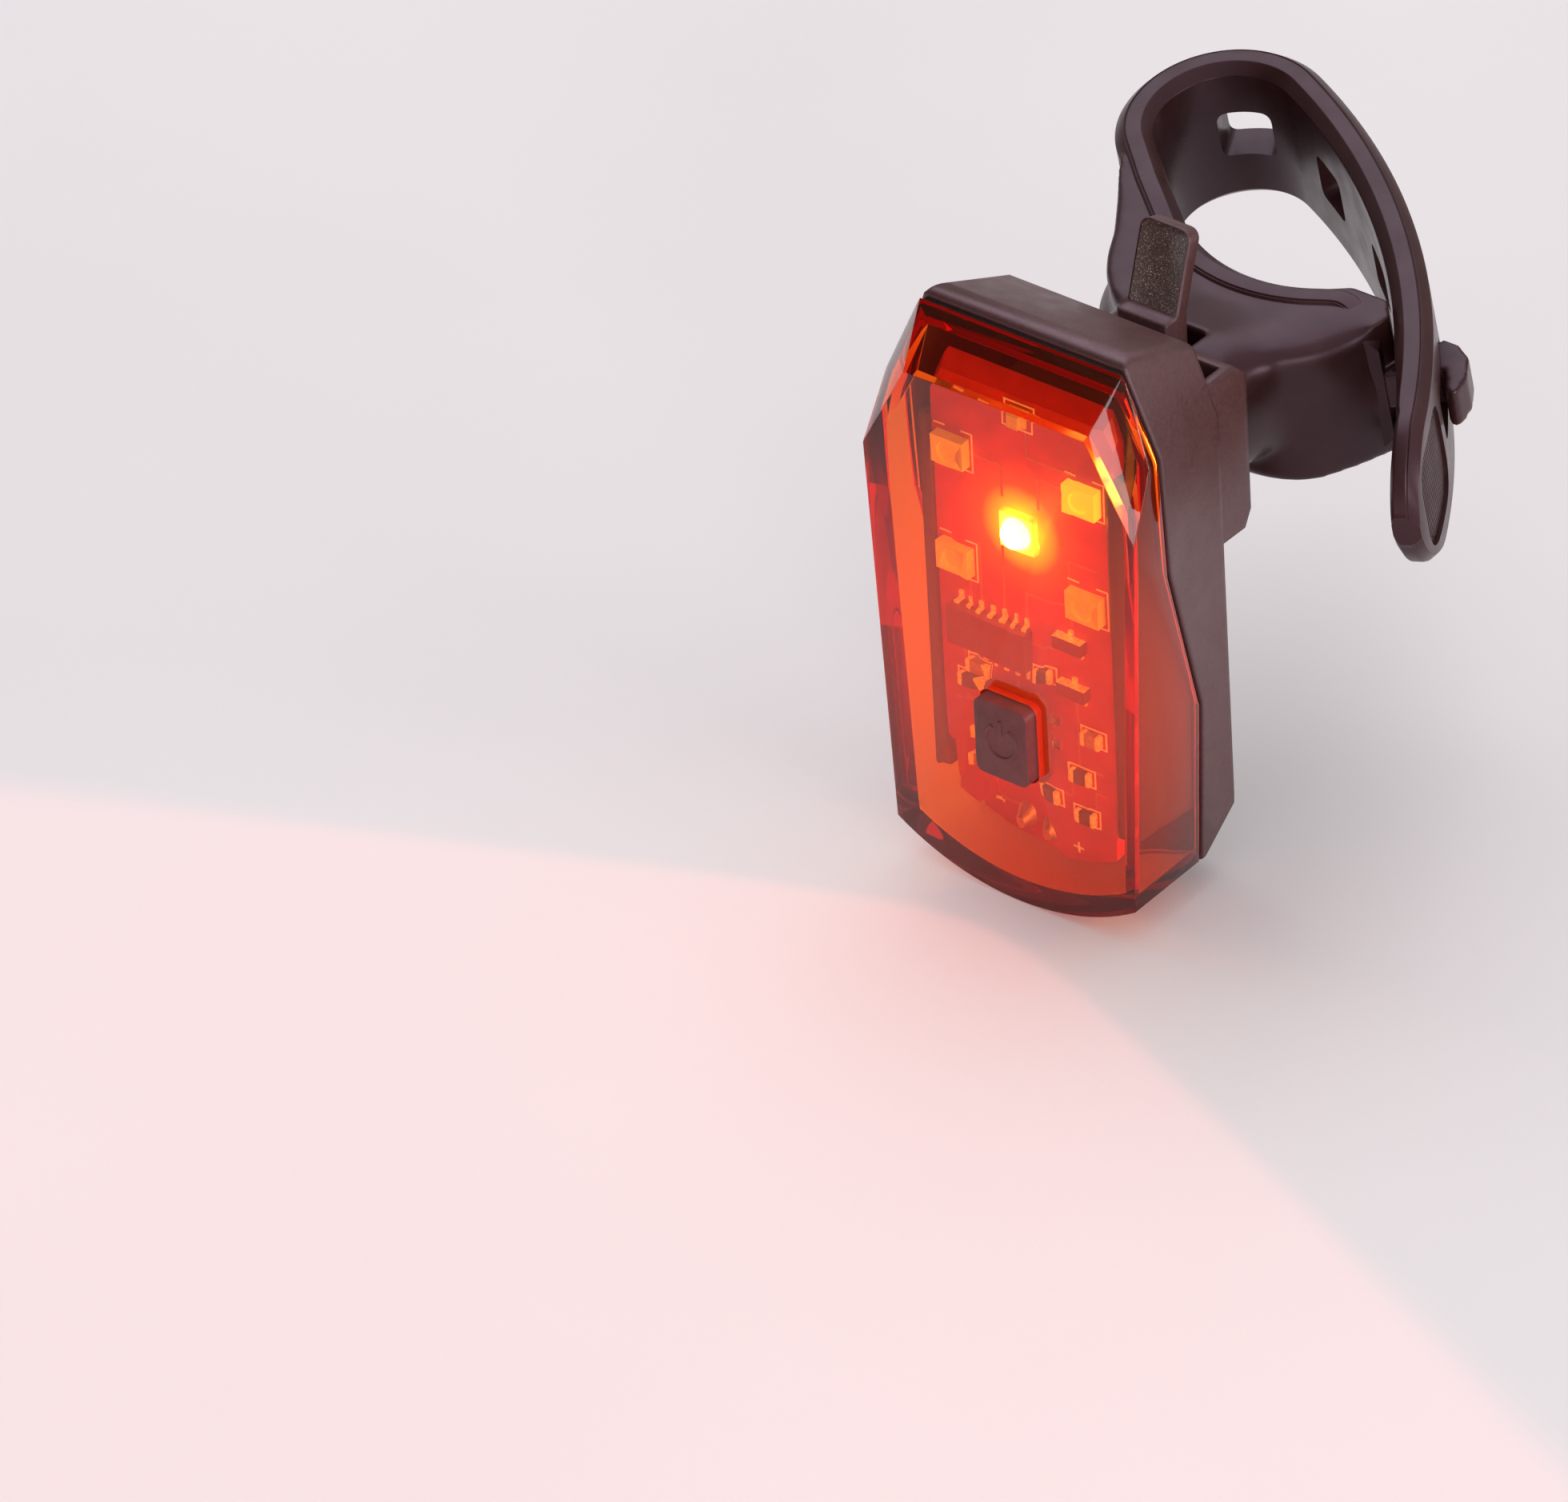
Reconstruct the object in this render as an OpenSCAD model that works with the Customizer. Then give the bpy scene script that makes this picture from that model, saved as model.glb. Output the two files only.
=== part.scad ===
// Bicycle rear light on a rubber seat-post bracket.
// A red lens and a black housing hold the board, the lamps and the cell.
// The lamp lifts off a hard clip, which a rubber saddle and strap carry.
// Millimetres. The origin is the middle of the saddle's seat, where the post
// bears: +Z is up, +Y points to the post and the lens looks along -Y.

/* [Lamp outline] */
// Width across the lower corners of the front face
foot_w = 26.6; // [20:0.1:30]
// Height of the lower corners over the lowest point
foot_rise = 3.9; // [2:0.1:6]
// Greatest width of the front face
lamp_w = 29.9; // [26:0.1:36]
// Height of the greatest width
widest_z = 42.8; // [38:0.1:46]
// Width of the front face at its upper crease
crease_w = 19.8; // [16:0.1:22]
// Height of the upper crease
crease_z = 51.9; // [48:0.1:54]
// Width of the lens at its top rim
rim_w = 22.2; // [20:0.1:25]
// Height of the lens's top rim
rim_z = 57.1; // [55:0.1:60]
// Depth of the lens's top rim behind the front face
rim_y = 4.3; // [3:0.1:6]
// Rise of the roof ridge over the rim
ridge_rise = 0.7; // [0.3:0.1:2]
// Setback of the roof ridge from the rim
ridge_back = 1.9; // [1:0.1:4]
// Depth of the lamp from lens to back, without the clip block
lamp_d = 15.2; // [14.5:0.1:18]
// Width of the roof at the back
roof_back_w = 20.1; // [18:0.1:22]
// Height of the roof at the back
roof_back_z = 54.1; // [52:0.1:56]
// Width of the back at its upper shoulder
shoulder_w = 25.3; // [23:0.1:28]
// Height of the back's upper shoulder
shoulder_z = 47.4; // [44:0.1:50]
// Width of the back at a low level
back_low_w = 25.6; // [24:0.1:28]
// Height of that low level
back_low_z = 8; // [6:0.5:16]
// Depth at which the underside starts to rise to the back
heel_y = 12; // [11:0.1:13]
// Angle of the rising underside
heel_angle = 37; // [25:1:45]

/* [Lens and housing] */
// Wall of the lens
lens_wall = 1.8; // [1.4:0.1:2]
// Wall of the housing
housing_wall = 1.6; // [1.2:0.1:2]
// Depth of the parting line on the lower flank
part_low_y = 9.8; // [9:0.1:10.2]
// Height where the parting line starts forward
part_low_z = 20.5; // [18:0.5:24]
// Depth of the parting line on the upper flank
part_high_y = 5.4; // [5:0.1:6]
// Height where the parting line turns upright again
part_high_z = 36.5; // [32:0.5:40]
// Thickness of the seal between lens and housing
seal_t = 0.5; // [0.3:0.1:0.8]
// Setback of the seal from the outer faces
seal_inset = 0.3; // [0.2:0.05:0.5]

/* [Clip block and tongue] */
// Width of the clip block on the housing's back
block_w = 23.5; // [21:0.5:24]
// Depth of the clip block
block_d = 5.2; // [5:0.1:6]
// Height of the block's lower end over the lamp's lowest point
block_z = 33.2; // [30:0.1:36]
// Length of the clip block
block_h = 17.2; // [15:0.1:18]
// Width of the tongue
tongue_w = 17.5; // [15:0.1:18]
// Thickness of the tongue
tongue_t = 2.5; // [2:0.1:2.8]
// Thickness of the block's end wall, which rests on the tongue
block_end = 1.8; // [1.2:0.1:2.5]
// Width of the stem behind the tongue
stem_w = 9.8; // [8:0.1:11]
// Running clearance of the tongue and stem in the block
clip_clear = 0.2; // [0.1:0.05:0.3]

/* [Release lever] */
// Width of the release lever
lever_w = 5.3; // [4:0.1:7]
// Thickness of the lever's thumb tab
tab_t = 1.65; // [1.3:0.05:2.2]
// Height of the thumb tab over its ledge
tab_h = 7.5; // [5:0.1:9]
// Lean of the thumb tab away from the lamp
tab_lean = 18; // [10:1:28]
// Height of the ledge over the lamp's lowest point
ledge_z = 50.2; // [49.5:0.1:51]
// Depth of the lever's shank
shank_d = 3.2; // [2.6:0.1:3.6]
// Height of the lever's pivot over the lamp's lowest point
pivot_z = 41.4; // [40:0.1:43]
// Radius of the lever's pivot barrel
pivot_r = 1.3; // [1:0.05:1.5]
// Clearance round the lever
lever_clear = 0.25; // [0.15:0.05:0.4]
// Greatest swing of the lever
lever_swing = 7; // [4:1:9]

/* [Saddle and neck] */
// Radius of the post that the saddle fits
post_r = 15.8; // [14:0.1:17]
// Lean of the post and strap loop against the lamp
loop_tilt = 11; // [5:1:16]
// Distance from the lens's front face to the saddle's seat
saddle_reach = 37.5; // [36:0.1:40]
// Height of the saddle's seat over the lamp's lowest point
saddle_height = 39.6; // [38:0.1:41]
// Height of the saddle along the post
saddle_h = 16; // [15.9:0.1:18]
// Radius of the saddle's front bulge
belly_r = 15.2; // [14:0.1:16]
// Radius of the bulge on the saddle's flank below the strap root
flank_r = 10; // [9.5:0.1:10.5]
// Height of that bulge, up to where it draws in
flank_h = 9; // [7:0.1:10]
// Height of the saddle's horns over its seat
horn_h = 2.6; // [2:0.1:3.2]
// Rounding of the saddle's front edges
belly_round = 4.5; // [3:0.1:6]
// Width of the neck
neck_w = 16.8; // [14:0.1:19]
// Height of the neck
neck_h = 13.4; // [11:0.1:14.5]
// Rounding of the neck's edges
neck_round = 4; // [2:0.1:6]
// Thickness of the clip's base flange on the neck
flange_t = 1.3; // [1:0.1:2]

/* [Strap] */
// Width of the strap
strap_w = 15.5; // [14:0.1:17]
// Thickness of the strap
strap_t = 3.5; // [3:0.1:4]
// Width of the flat along each strap edge
strap_flat = 1.5; // [1:0.1:1.8]
// Height of the bevels beside that flat
strap_bevel = 1.0; // [0.6:0.1:1.5]
// Middle radius of the tight bend
bend_r = 8.2; // [7.6:0.05:9]
// Sideways place of the tight bend's centre
bend_x = -14.3; // [-15:0.1:-13.5]
// Distance of the tight bend's centre behind the seat
bend_y = 15.6; // [14.8:0.1:16.4]
// Middle radius of the long run to the tail
run_r = 71.4; // [68:0.2:74]
// Angle on the bend where the long run and the free strap start
run_angle = 66.6; // [64:0.1:69]
// Angle on the long run where the tail's round end starts
tail_angle = 28.7; // [28:0.1:29.5]
// Radius of the tail's round end
tail_r = 8; // [7.9:0.1:9]
// Angle on the long run of the hook's root
hook_angle = 40.2; // [39.6:0.1:41]
// Spacing of the strap's holes
hole_pitch = 14; // [13.2:0.1:14.6]
// Length of a strap hole
hole_l = 5; // [4:0.1:6]
// Height of a strap hole
hole_h = 5; // [4.6:0.1:6]
// Length of the hole that the hook holds
hook_hole_l = 9; // [8.6:0.1:9.6]
// Angle on the bend of the last hole
last_hole_angle = 117; // [112:0.5:122]
// Clearance of the strap to the saddle's flank and hook
strap_clear = 0.3; // [0.2:0.05:0.4]
// Gap at the strap's flex line
flex_gap = 0.1; // [0.05:0.05:0.2]
// Length of the hook's stem along the strap
hook_l = 3.7; // [3.2:0.1:4]
// Overhang of the hook's head towards the tail
hook_over = 3.2; // [2.4:0.1:3.4]
// Height of the hook
hook_h = 4.4; // [4:0.1:4.6]
// Reach of the hook beyond the strap
hook_out = 2.5; // [1.8:0.1:2.6]
// Depth of the tail's ribbed panel
panel_d = 0.5; // [0.3:0.1:0.8]
// Pitch of the ribs in that panel
rib_pitch = 1.5; // [1.2:0.1:2]

/* [Power button] */
// Width of the button
button_w = 5.8; // [5:0.1:6.5]
// Height of the button
button_h = 7.8; // [7:0.1:8.5]
// Height of the button's middle over the lamp's lowest point
button_z = 17.5; // [16.5:0.1:18.5]
// Stand of the button proud of the lens
button_out = 1.25; // [0.8:0.05:1.6]
// Clearance round the button
button_clear = 0.2; // [0.1:0.05:0.3]
// Thickness of the flange behind the lens
button_flange = 0.55; // [0.4:0.05:0.7]
// Travel of the button
button_travel = 0.45; // [0.3:0.05:0.5]
// Rounding of the button's corners
button_round = 0.8; // [0.5:0.1:1.5]
// Inner radius of the raised standby mark
mark_r = 1.5; // [1.2:0.05:1.8]

/* [Electronics] */
// Depth of the board's front behind the lens's front
board_y = 4.0; // [3.8:0.1:4.2]
// Thickness of the board
board_t = 1.2; // [0.8:0.1:1.6]
// Width of the board
board_w = 19.2; // [18:0.1:20]
// Gap from the lamp's outer form to the board's ends
board_inset = 4; // [3.5:0.1:4.5]
// Height of the main lamp
main_led_z = 37.5; // [36:0.1:39]
// Spread of the side lamps from the middle
side_led_x = 7.2; // [6.5:0.1:7.5]
// Height of the upper pair of side lamps
upper_led_z = 43.4; // [42:0.1:44]
// Height of the lower pair of side lamps
lower_led_z = 32.3; // [31:0.1:33]
// Height of the indicator lamp
indicator_z = 48.9; // [48:0.1:49.2]
// Thickness of the cell
cell_t = 5.5; // [4:0.1:5.8]
// Width of the cell
cell_w = 16; // [14:0.1:17]
// Length of the cell
cell_l = 30; // [26:0.5:31]
// Height of the cell's lower end
cell_z = 16; // [15:0.5:17]
// Thickness of the cell's foam pad
pad_t = 0.7; // [0.5:0.1:1]
// Radius of a battery lead
lead_r = 0.5; // [0.4:0.05:0.6]
// Spread of the battery leads from the middle
lead_x = 1.55; // [1.2:0.05:2]
// Height of the battery leads' joints on the board
lead_z = 5.8; // [5.4:0.1:6.4]
// Width of the charge socket
socket_w = 7.5; // [7:0.1:8]
// Thickness of the charge socket
socket_t = 2.5; // [2.2:0.1:2.6]
// Length of the charge socket
socket_l = 5.2; // [4.5:0.1:6]
// Width of the socket's rubber cover
cover_w = 11.2; // [10.5:0.1:12]
// Thickness of that cover at its middle
cover_t = 2.2; // [2:0.1:2.3]
// Clearance round the cover
cover_clear = 0.15; // [0.1:0.05:0.2]

/* [Hidden] */
$fn = 96;
big = 120;
touch = 0.01;

// Named points of the lamp's right half, from the lens front's lowest point
foot_pt = [foot_w / 2, 0, foot_rise];
widest_pt = [lamp_w / 2, 0, widest_z];
crease_pt = [crease_w / 2, 0, crease_z];
rim_pt = [rim_w / 2, rim_y, rim_z];
ridge_y = rim_y + ridge_back;
ridge_z = rim_z + ridge_rise;
roof_back_pt = [roof_back_w / 2, lamp_d, roof_back_z];
shoulder_pt = [shoulder_w / 2, lamp_d, shoulder_z];
back_low_pt = [back_low_w / 2, lamp_d, back_low_z];
lamp_mid = [0, lamp_d / 2, widest_z / 2];
foot_r = (pow(foot_w / 2, 2) + pow(foot_rise, 2)) / (2 * foot_rise);
// The lens ends just ahead of the rim, so that the rim edge is the housing's
part_top_y = rim_y - 0.15;

// Places along the lamp's depth
floor_y = lamp_d - housing_wall;
block_back = lamp_d + block_d;
tongue_y = lamp_d + clip_clear;
slot_back = tongue_y + tongue_t + clip_clear;
slot_top = block_z + block_h - block_end;
flange_y = block_back + 0.3;
neck_y = flange_y + flange_t;
flange_step = 0.3;
stem_short = 1.5;
tongue_l = slot_top - block_z - 2 * clip_clear;
pivot_y = neck_y;
shank_y = flange_y + 0.05;
board_back = board_y + board_t;
cell_y = floor_y - pad_t - cell_t;

// Strap geometry in the loop's own plane
bend_c = [bend_x, bend_y];
run_dir = [cos(run_angle), sin(run_angle)];
run_c = bend_c - (run_r - bend_r) * run_dir;
// Degrees on the long run for one millimetre of its middle line
run_deg = 180 / PI / run_r;
bend_in = bend_r - strap_t / 2;
bend_out = bend_r + strap_t / 2;
post_c = [0, post_r];
post_to_bend = bend_c - post_c;
// The root runs straight from the bend and a little proud of the seat's end
root_step = 0.12;
root_sink = 4;
root_r = post_r - root_step;
root_angle = atan2(post_to_bend.y, post_to_bend.x) + 360
    + acos((root_r - bend_in) / norm(post_to_bend));
root_dir = [cos(root_angle), sin(root_angle)];
root_way = [-sin(root_angle), cos(root_angle)];
root_in = bend_c + bend_in * root_dir;
root_out = bend_c + bend_out * root_dir;
root_l = norm(post_c + root_r * root_dir - root_in);
root_bite = 0.3;
cut_over = 1;
belly_up = 1.4;
belly_y = horn_h + belly_up;
flank_c = [-6, 0.5];
flank_in = 2.6;
flank_taper = 4;
root_foot_angle = 200;
hook_slack = 0.6;
hook_bite = 2;
hook_hole_angle = hook_angle + (hook_slack - hook_hole_l / 2) * run_deg;
free_holes = 2;
tail_turn = tail_r * run_deg;
panel_rim = 3;
hole_round = 1;

// Clip block's bevels, in depth and in height, and the pockets at its upper corners
block_chin = 0.9;
block_brow = 1.7;
block_slope = 1.6;
pocket_l = 4;
pocket_d = 2.6;
pocket_wall = 0.85;

// Rails of the housing that carry the board
rail_z = 9;
rail_top = 46;
rail_under = 0.7;
rail_side = 1.2;
rail_gap = 0.1;
rail_lip = 0.3;

// Button's flange, nub and mark, and the switch behind it
flange_front = lens_wall + 0.15;
flange_lip = 0.8;
nub_h = 0.15;
mark_line = 0.4;
mark_h = 0.15;
plunger_y = flange_front + button_flange + nub_h;
plunger_r = 0.95;
plunger_gap = 0.08;
switch_size = [6, 3.6, 0.95];
switch_leg = [0.8, 0.3, 0.7];
switch_y = board_y - switch_size.z;

// Charge socket with its boss, board, lugs, pins and cover
socket_gap = 0.1;
socket_wall = 0.3;
socket_y = floor_y - socket_t - socket_gap;
cover_top = cover_t + cover_clear;
socket_z = cover_top + socket_gap;
boss_rim = 1.2;
boss_h = 1.7;
boss_top = socket_z + boss_h;
charge_board_w = 13.2;
charge_board_h = 9;
charge_board_t = 1;
charge_board_y = socket_y - charge_board_t;
charge_board_z = boss_top + socket_gap;
cover_y = part_low_y + seal_t + 0.8;
cover_back = lamp_d - 0.4;
lug_x = 5.6;
lug_z = charge_board_z + charge_board_h * 2 / 3;
lug_w = 1.4;
lug_h = 3;
pin_x = 4;
pin_z = charge_board_z + charge_board_h / 2;
pin_r = 0.35;

// Electronics that the lens shows: [x, z] of each middle on the board
chip_at = [-3.5, 25.6];
chip_size = [8.65, 3.9, 1.5];
chip_pitch = 1.27;
chip_pins = 7;
transistor_at = [[5.3, 27.7], [5.5, 22.9]];
resistor_at = [[-6.7, 19.4], [2.2, 23.2], [5.8, 13.9], [2.4, 10.6], [6.2, 9.8], [-6.4, 13.6]];
capacitor_at = [[-5.6, 21.4], [-6.4, 10.8], [7.2, 18.4]];
chip_part = [2, 1.25, 0.6];
side_led = [3.5, 2.8, 1.1];
main_led_w = 3.6;
main_led_base = 0.8;
transistor_size = [2.9, 1.3, 1];
transistor_foot = [0.4, 0.7, 0.3];
transistor_pitch = 0.95;
solder_r = 1.1;
solder_h = 0.8;
drill_gap = 0.1;

// Frames: the lamp's lowest front point, and the tilted plane of the strap loop
module in_lamp() translate([0, -saddle_reach, -saddle_height]) children();
module in_loop() rotate([loop_tilt, 0, 0]) children();

// Half space through three points that keeps the side of the lamp's middle
module half_space(a, b, c, inset)
{
    cross_ab = cross(b - a, c - a);
    facing = cross_ab * (lamp_mid - a) > 0 ? -1 : 1;
    n = facing * cross_ab / norm(cross_ab);
    translate(a - n * inset)
        rotate([0, acos(n.z), atan2(n.y, n.x)])
            translate([-big, -big, -2 * big])
                cube(2 * big);
}

function mirrored(p) = [-p.x, p.y, p.z];

// The same half space on both flanks
module both_sides(a, b, c, inset)
{
    intersection() {
        half_space(a, b, c, inset);
        half_space(mirrored(a), mirrored(b), mirrored(c), inset);
    }
}

// Space over the round underside
module foot_space(inset)
{
    rotate([90, 0, 0])
        linear_extrude(big, center = true) {
            translate([0, foot_r])
                circle(foot_r - inset);
            translate([-big / 2, foot_r])
                square(big);
        }
}

// The closed outer form of lens and housing together, moved in by inset
module lamp_form(inset = 0)
{
    intersection() {
        translate([-big / 2, inset, -big / 2])
            cube([big, lamp_d - 2 * inset, 2 * big]);
        both_sides(foot_pt, widest_pt, back_low_pt, inset);
        both_sides(widest_pt, back_low_pt, shoulder_pt, inset);
        both_sides(widest_pt, crease_pt, rim_pt, inset);
        both_sides(rim_pt, roof_back_pt, shoulder_pt, inset);
        half_space(crease_pt, mirrored(crease_pt), rim_pt, inset);
        half_space(rim_pt, mirrored(rim_pt), [0, ridge_y, ridge_z], inset);
        half_space([1, ridge_y, ridge_z], [-1, ridge_y, ridge_z], roof_back_pt, inset);
        foot_space(inset);
        translate([0, heel_y, 0])
            rotate([heel_angle, 0, 0])
                foot_space(inset);
    }
}

// Everything ahead of the parting line, moved back by shift
module front_space(shift = 0)
{
    rotate([90, 0, 90])
        linear_extrude(big, center = true)
            polygon([
                [-big / 2, -big / 2],
                [part_low_y + shift, -big / 2],
                [part_low_y + shift, part_low_z],
                [part_high_y + shift, part_high_z],
                [part_top_y + shift, rim_z],
                [part_top_y + shift, big],
                [-big / 2, big],
            ]);
}

// Box from lowest corner to highest corner
module span(lo, hi) translate(lo) cube(hi - lo);

// Rectangle with round corners, about the origin
module round_rect(w, h, r)
{
    square([w - 2 * r, h], center = true);
    square([w, h - 2 * r], center = true);
    for (x = [-1, 1], y = [-1, 1])
        translate([x * (w / 2 - r), y * (h / 2 - r)])
            circle(r);
}

// Round-cornered block standing on a plane of constant depth, towards +Y
module round_block(w, h, r, depth)
{
    rotate([90, 0, 0])
        mirror([0, 0, 1])
            linear_extrude(depth)
                round_rect(w, h, r);
}

// Profile in depth and height, drawn across the width w
module across(w)
{
    rotate([90, 0, 90])
        linear_extrude(w, center = true)
            children();
}

// Section of the strap about its middle line: bevelled edges with a flat
module strap_section(grow = 0)
{
    half_w = strap_w / 2 + grow;
    half_t = strap_t / 2 + grow;
    half_flat = strap_flat / 2 + grow;
    shoulder = half_w - strap_bevel;
    polygon([
        [-half_t, -shoulder], [-half_flat, -half_w], [half_flat, -half_w], [half_t, -shoulder],
        [half_t, shoulder], [half_flat, half_w], [-half_flat, half_w], [-half_t, shoulder],
    ]);
}

// Stretch of strap round a centre, between two angles
module strap_arc(centre, r, from, to)
{
    translate(centre)
        rotate([0, 0, from])
            rotate_extrude(angle = to - from)
                translate([r, 0])
                    strap_section();
}

// Straight root of the strap, from the bend into the saddle
module strap_root()
{
    length = root_l + strap_t;
    translate(bend_c)
        rotate([0, 0, root_angle])
            translate([bend_r, length, 0])
                rotate([90, 0, 0])
                    linear_extrude(length)
                        strap_section(root_step);
}

// Hole through the strap at an angle round a centre
module strap_hole(centre, r, angle, length = hole_l)
{
    translate(centre)
        rotate([0, 0, angle])
            translate([r - strap_t, 0, 0])
                rotate([90, 0, 90])
                    linear_extrude(2 * strap_t)
                        round_rect(length, hole_h, hole_round);
}

// Outline of the saddle in the loop's plane: bulge, horns and strap root
module saddle_plan()
{
    root_foot = [0, belly_y] + belly_r * [cos(root_foot_angle), sin(root_foot_angle)];
    intersection() {
        translate([0, belly_y])
            circle(belly_r);
        translate([-big, horn_h - 2 * big])
            square(2 * big);
    }
    polygon([
        root_in + root_l * root_way + root_bite * root_dir,
        root_in + root_l / 2 * root_way + root_bite * root_dir,
        root_out + root_bite * root_way - root_bite * root_dir,
        root_foot, [0, belly_y - belly_r / 2], [0, 0],
    ]);
}

// Bulge on the saddle's flank, drawn in towards its top
module saddle_flank()
{
    translate([flank_c.x, flank_c.y, -saddle_h / 2]) {
        translate([0, 0, -flank_in])
            cylinder(r = flank_r, h = flank_h + flank_in);
        translate([0, 0, flank_h])
            cylinder(r1 = flank_r, r2 = flank_r - flank_in, h = flank_taper);
    }
}

// Room for the saddle between the post and the strap's long run
module saddle_room()
{
    difference() {
        translate(run_c)
            circle(run_r - strap_t / 2 - strap_clear);
        translate(post_c)
            circle(post_r);
    }
}

// Side view of the saddle, with its front edges rounded
module saddle_side()
{
    front = belly_y - belly_r;
    translate([front + belly_round, -saddle_h / 2])
        square([big, saddle_h]);
    translate([front, -saddle_h / 2 + belly_round])
        square([belly_round, saddle_h - 2 * belly_round]);
    for (z = [-1, 1])
        translate([front + belly_round, z * (saddle_h / 2 - belly_round)])
            circle(belly_round);
}

// Point in the loop's plane at a radius about the long run's centre
function on_run(r, angle) = run_c + r * [cos(angle), sin(angle)];

// Hook that passes through the strap, from inside the saddle's flank
module strap_hook()
{
    face = run_r + strap_t / 2;
    stem_end = hook_angle - hook_l * run_deg;
    head_end = stem_end - hook_over * run_deg;
    root = run_r - strap_t - hook_bite;
    linear_extrude(hook_h, center = true)
        polygon([
            on_run(root, hook_angle), on_run(face + hook_out * 0.2, hook_angle),
            on_run(face + hook_out * 0.7, hook_angle - hook_l * 0.25 * run_deg),
            on_run(face + hook_out, hook_angle - hook_l * 0.7 * run_deg),
            on_run(face + hook_out * 0.9, stem_end - hook_over * 0.4 * run_deg),
            on_run(face + hook_out * 0.5, head_end),
            on_run(face + strap_clear, head_end + 0.3 * run_deg),
            on_run(face + strap_clear, stem_end), on_run(root, stem_end),
        ]);
}

// Room for the release lever, open upwards, over its whole swing
module lever_room()
{
    back = neck_y + shank_d + (ledge_z - pivot_z) * tan(lever_swing);
    span([-lever_w / 2 - lever_clear, flange_y - touch, pivot_z - pivot_r - lever_clear],
        [lever_w / 2 + lever_clear, back, big / 2]);
}

// Rubber saddle with its neck, strap root, first bend and hook
module saddle()
{
    neck_top = pivot_z + neck_h * 0.4;
    color("#241d1d") {
        difference() {
            union() {
                in_loop() {
                    intersection() {
                        union() {
                            linear_extrude(saddle_h + 2 * flank_in, center = true)
                                saddle_plan();
                            saddle_flank();
                        }
                        linear_extrude(saddle_h, center = true)
                            saddle_room();
                        across(big)
                            saddle_side();
                    }
                    strap_root();
                    difference() {
                        strap_arc(bend_c, bend_r, run_angle, root_angle + root_sink);
                        strap_hole(bend_c, bend_r, last_hole_angle);
                    }
                    strap_hook();
                }
                in_lamp()
                    translate([0, neck_y, neck_top - neck_h / 2])
                        round_block(neck_w, neck_h, neck_round, saddle_reach - neck_y - belly_r / 3);
            }
            in_lamp()
                lever_room();
        }
    }
}

// What is cut away round the tail's end
module tail_cutter()
{
    translate(run_c)
        rotate([0, 0, tail_angle])
            difference() {
                translate([run_r - strap_t, -2 * strap_w, -strap_w])
                    cube([2 * strap_t, 2 * strap_w, 2 * strap_w]);
                rotate([0, 90, 0])
                    cylinder(r = tail_r, h = 2 * run_r);
            }
}

// Free run of the strap, with its holes and its ribbed tail
module strap()
{
    panel_w = strap_w - 2 * panel_rim;
    panel_ribs = floor(panel_w / 2 / rib_pitch);
    color("#2a2222")
        in_loop()
            difference() {
                strap_arc(run_c, run_r, tail_angle - 1.5 * tail_turn, run_angle - flex_gap * run_deg);
                tail_cutter();
                strap_hole(run_c, run_r, hook_hole_angle, hook_hole_l);
                for (i = [1 : free_holes])
                    strap_hole(run_c, run_r, hook_angle - hook_l / 2 * run_deg + i * hole_pitch * run_deg);
                for (i = [-panel_ribs : panel_ribs])
                    translate(run_c)
                        rotate([0, 0, tail_angle + i * rib_pitch * run_deg])
                            translate([run_r + strap_t / 2 - panel_d, -rib_pitch / 4, -panel_w / 2])
                                cube([strap_t, rib_pitch / 2, panel_w]);
            }
}

// Hard tongue with its stem and the flange that the neck is moulded on
module clip_tongue()
{
    stem_z = block_z + clip_clear;
    color("#2b2728")
        in_lamp()
            difference() {
                union() {
                    span([-tongue_w / 2, tongue_y, stem_z],
                        [tongue_w / 2, tongue_y + tongue_t, stem_z + tongue_l]);
                    span([-stem_w / 2, tongue_y + tongue_t - touch, stem_z],
                        [stem_w / 2, flange_y + touch, stem_z + tongue_l - stem_short]);
                    translate([0, flange_y, pivot_z - neck_h * 0.1])
                        round_block(neck_w - 2 * flange_step, neck_h - 2 * flange_step,
                            neck_round - flange_step, flange_t);
                }
                lever_room();
            }
}

// Release lever: pivot barrel, shank, ledge and leaning thumb tab
module release_lever()
{
    tab_back = tab_h * tan(tab_lean);
    tab_y = shank_y + shank_d - tab_t;
    color("#3a3433")
        in_lamp() {
            translate([0, pivot_y, pivot_z])
                rotate([0, 90, 0])
                    cylinder(r = pivot_r, h = lever_w, center = true);
            across(lever_w)
                polygon([
                    [shank_y, pivot_z], [shank_y + shank_d, pivot_z], [shank_y + shank_d, ledge_z],
                    [shank_y + shank_d + tab_back, ledge_z + tab_h - tab_t * sin(tab_lean)],
                    [tab_y + tab_back, ledge_z + tab_h],
                    [tab_y, ledge_z], [shank_y, ledge_z],
                ]);
        }
}

// Clip block on the housing's back, with the slot that takes the tongue
module clip_block()
{
    top = block_z + block_h;
    pocket_out = block_w / 2 - pocket_wall;
    difference() {
        across(block_w)
            polygon([
                [floor_y, block_z], [block_back - block_chin, block_z],
                [block_back, block_z + block_slope], [block_back, top - block_slope],
                [block_back - block_brow, top], [floor_y, top],
            ]);
        span([-tongue_w / 2 - clip_clear, lamp_d, 0],
            [tongue_w / 2 + clip_clear, slot_back, slot_top]);
        span([-stem_w / 2 - clip_clear, slot_back - touch, 0],
            [stem_w / 2 + clip_clear, big, slot_top]);
        for (side = [0, 1])
            mirror([side, 0, 0])
                span([pocket_out - pocket_l, lamp_d, slot_top - block_end],
                    [pocket_out, lamp_d + pocket_d, top + touch]);
    }
}

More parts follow.
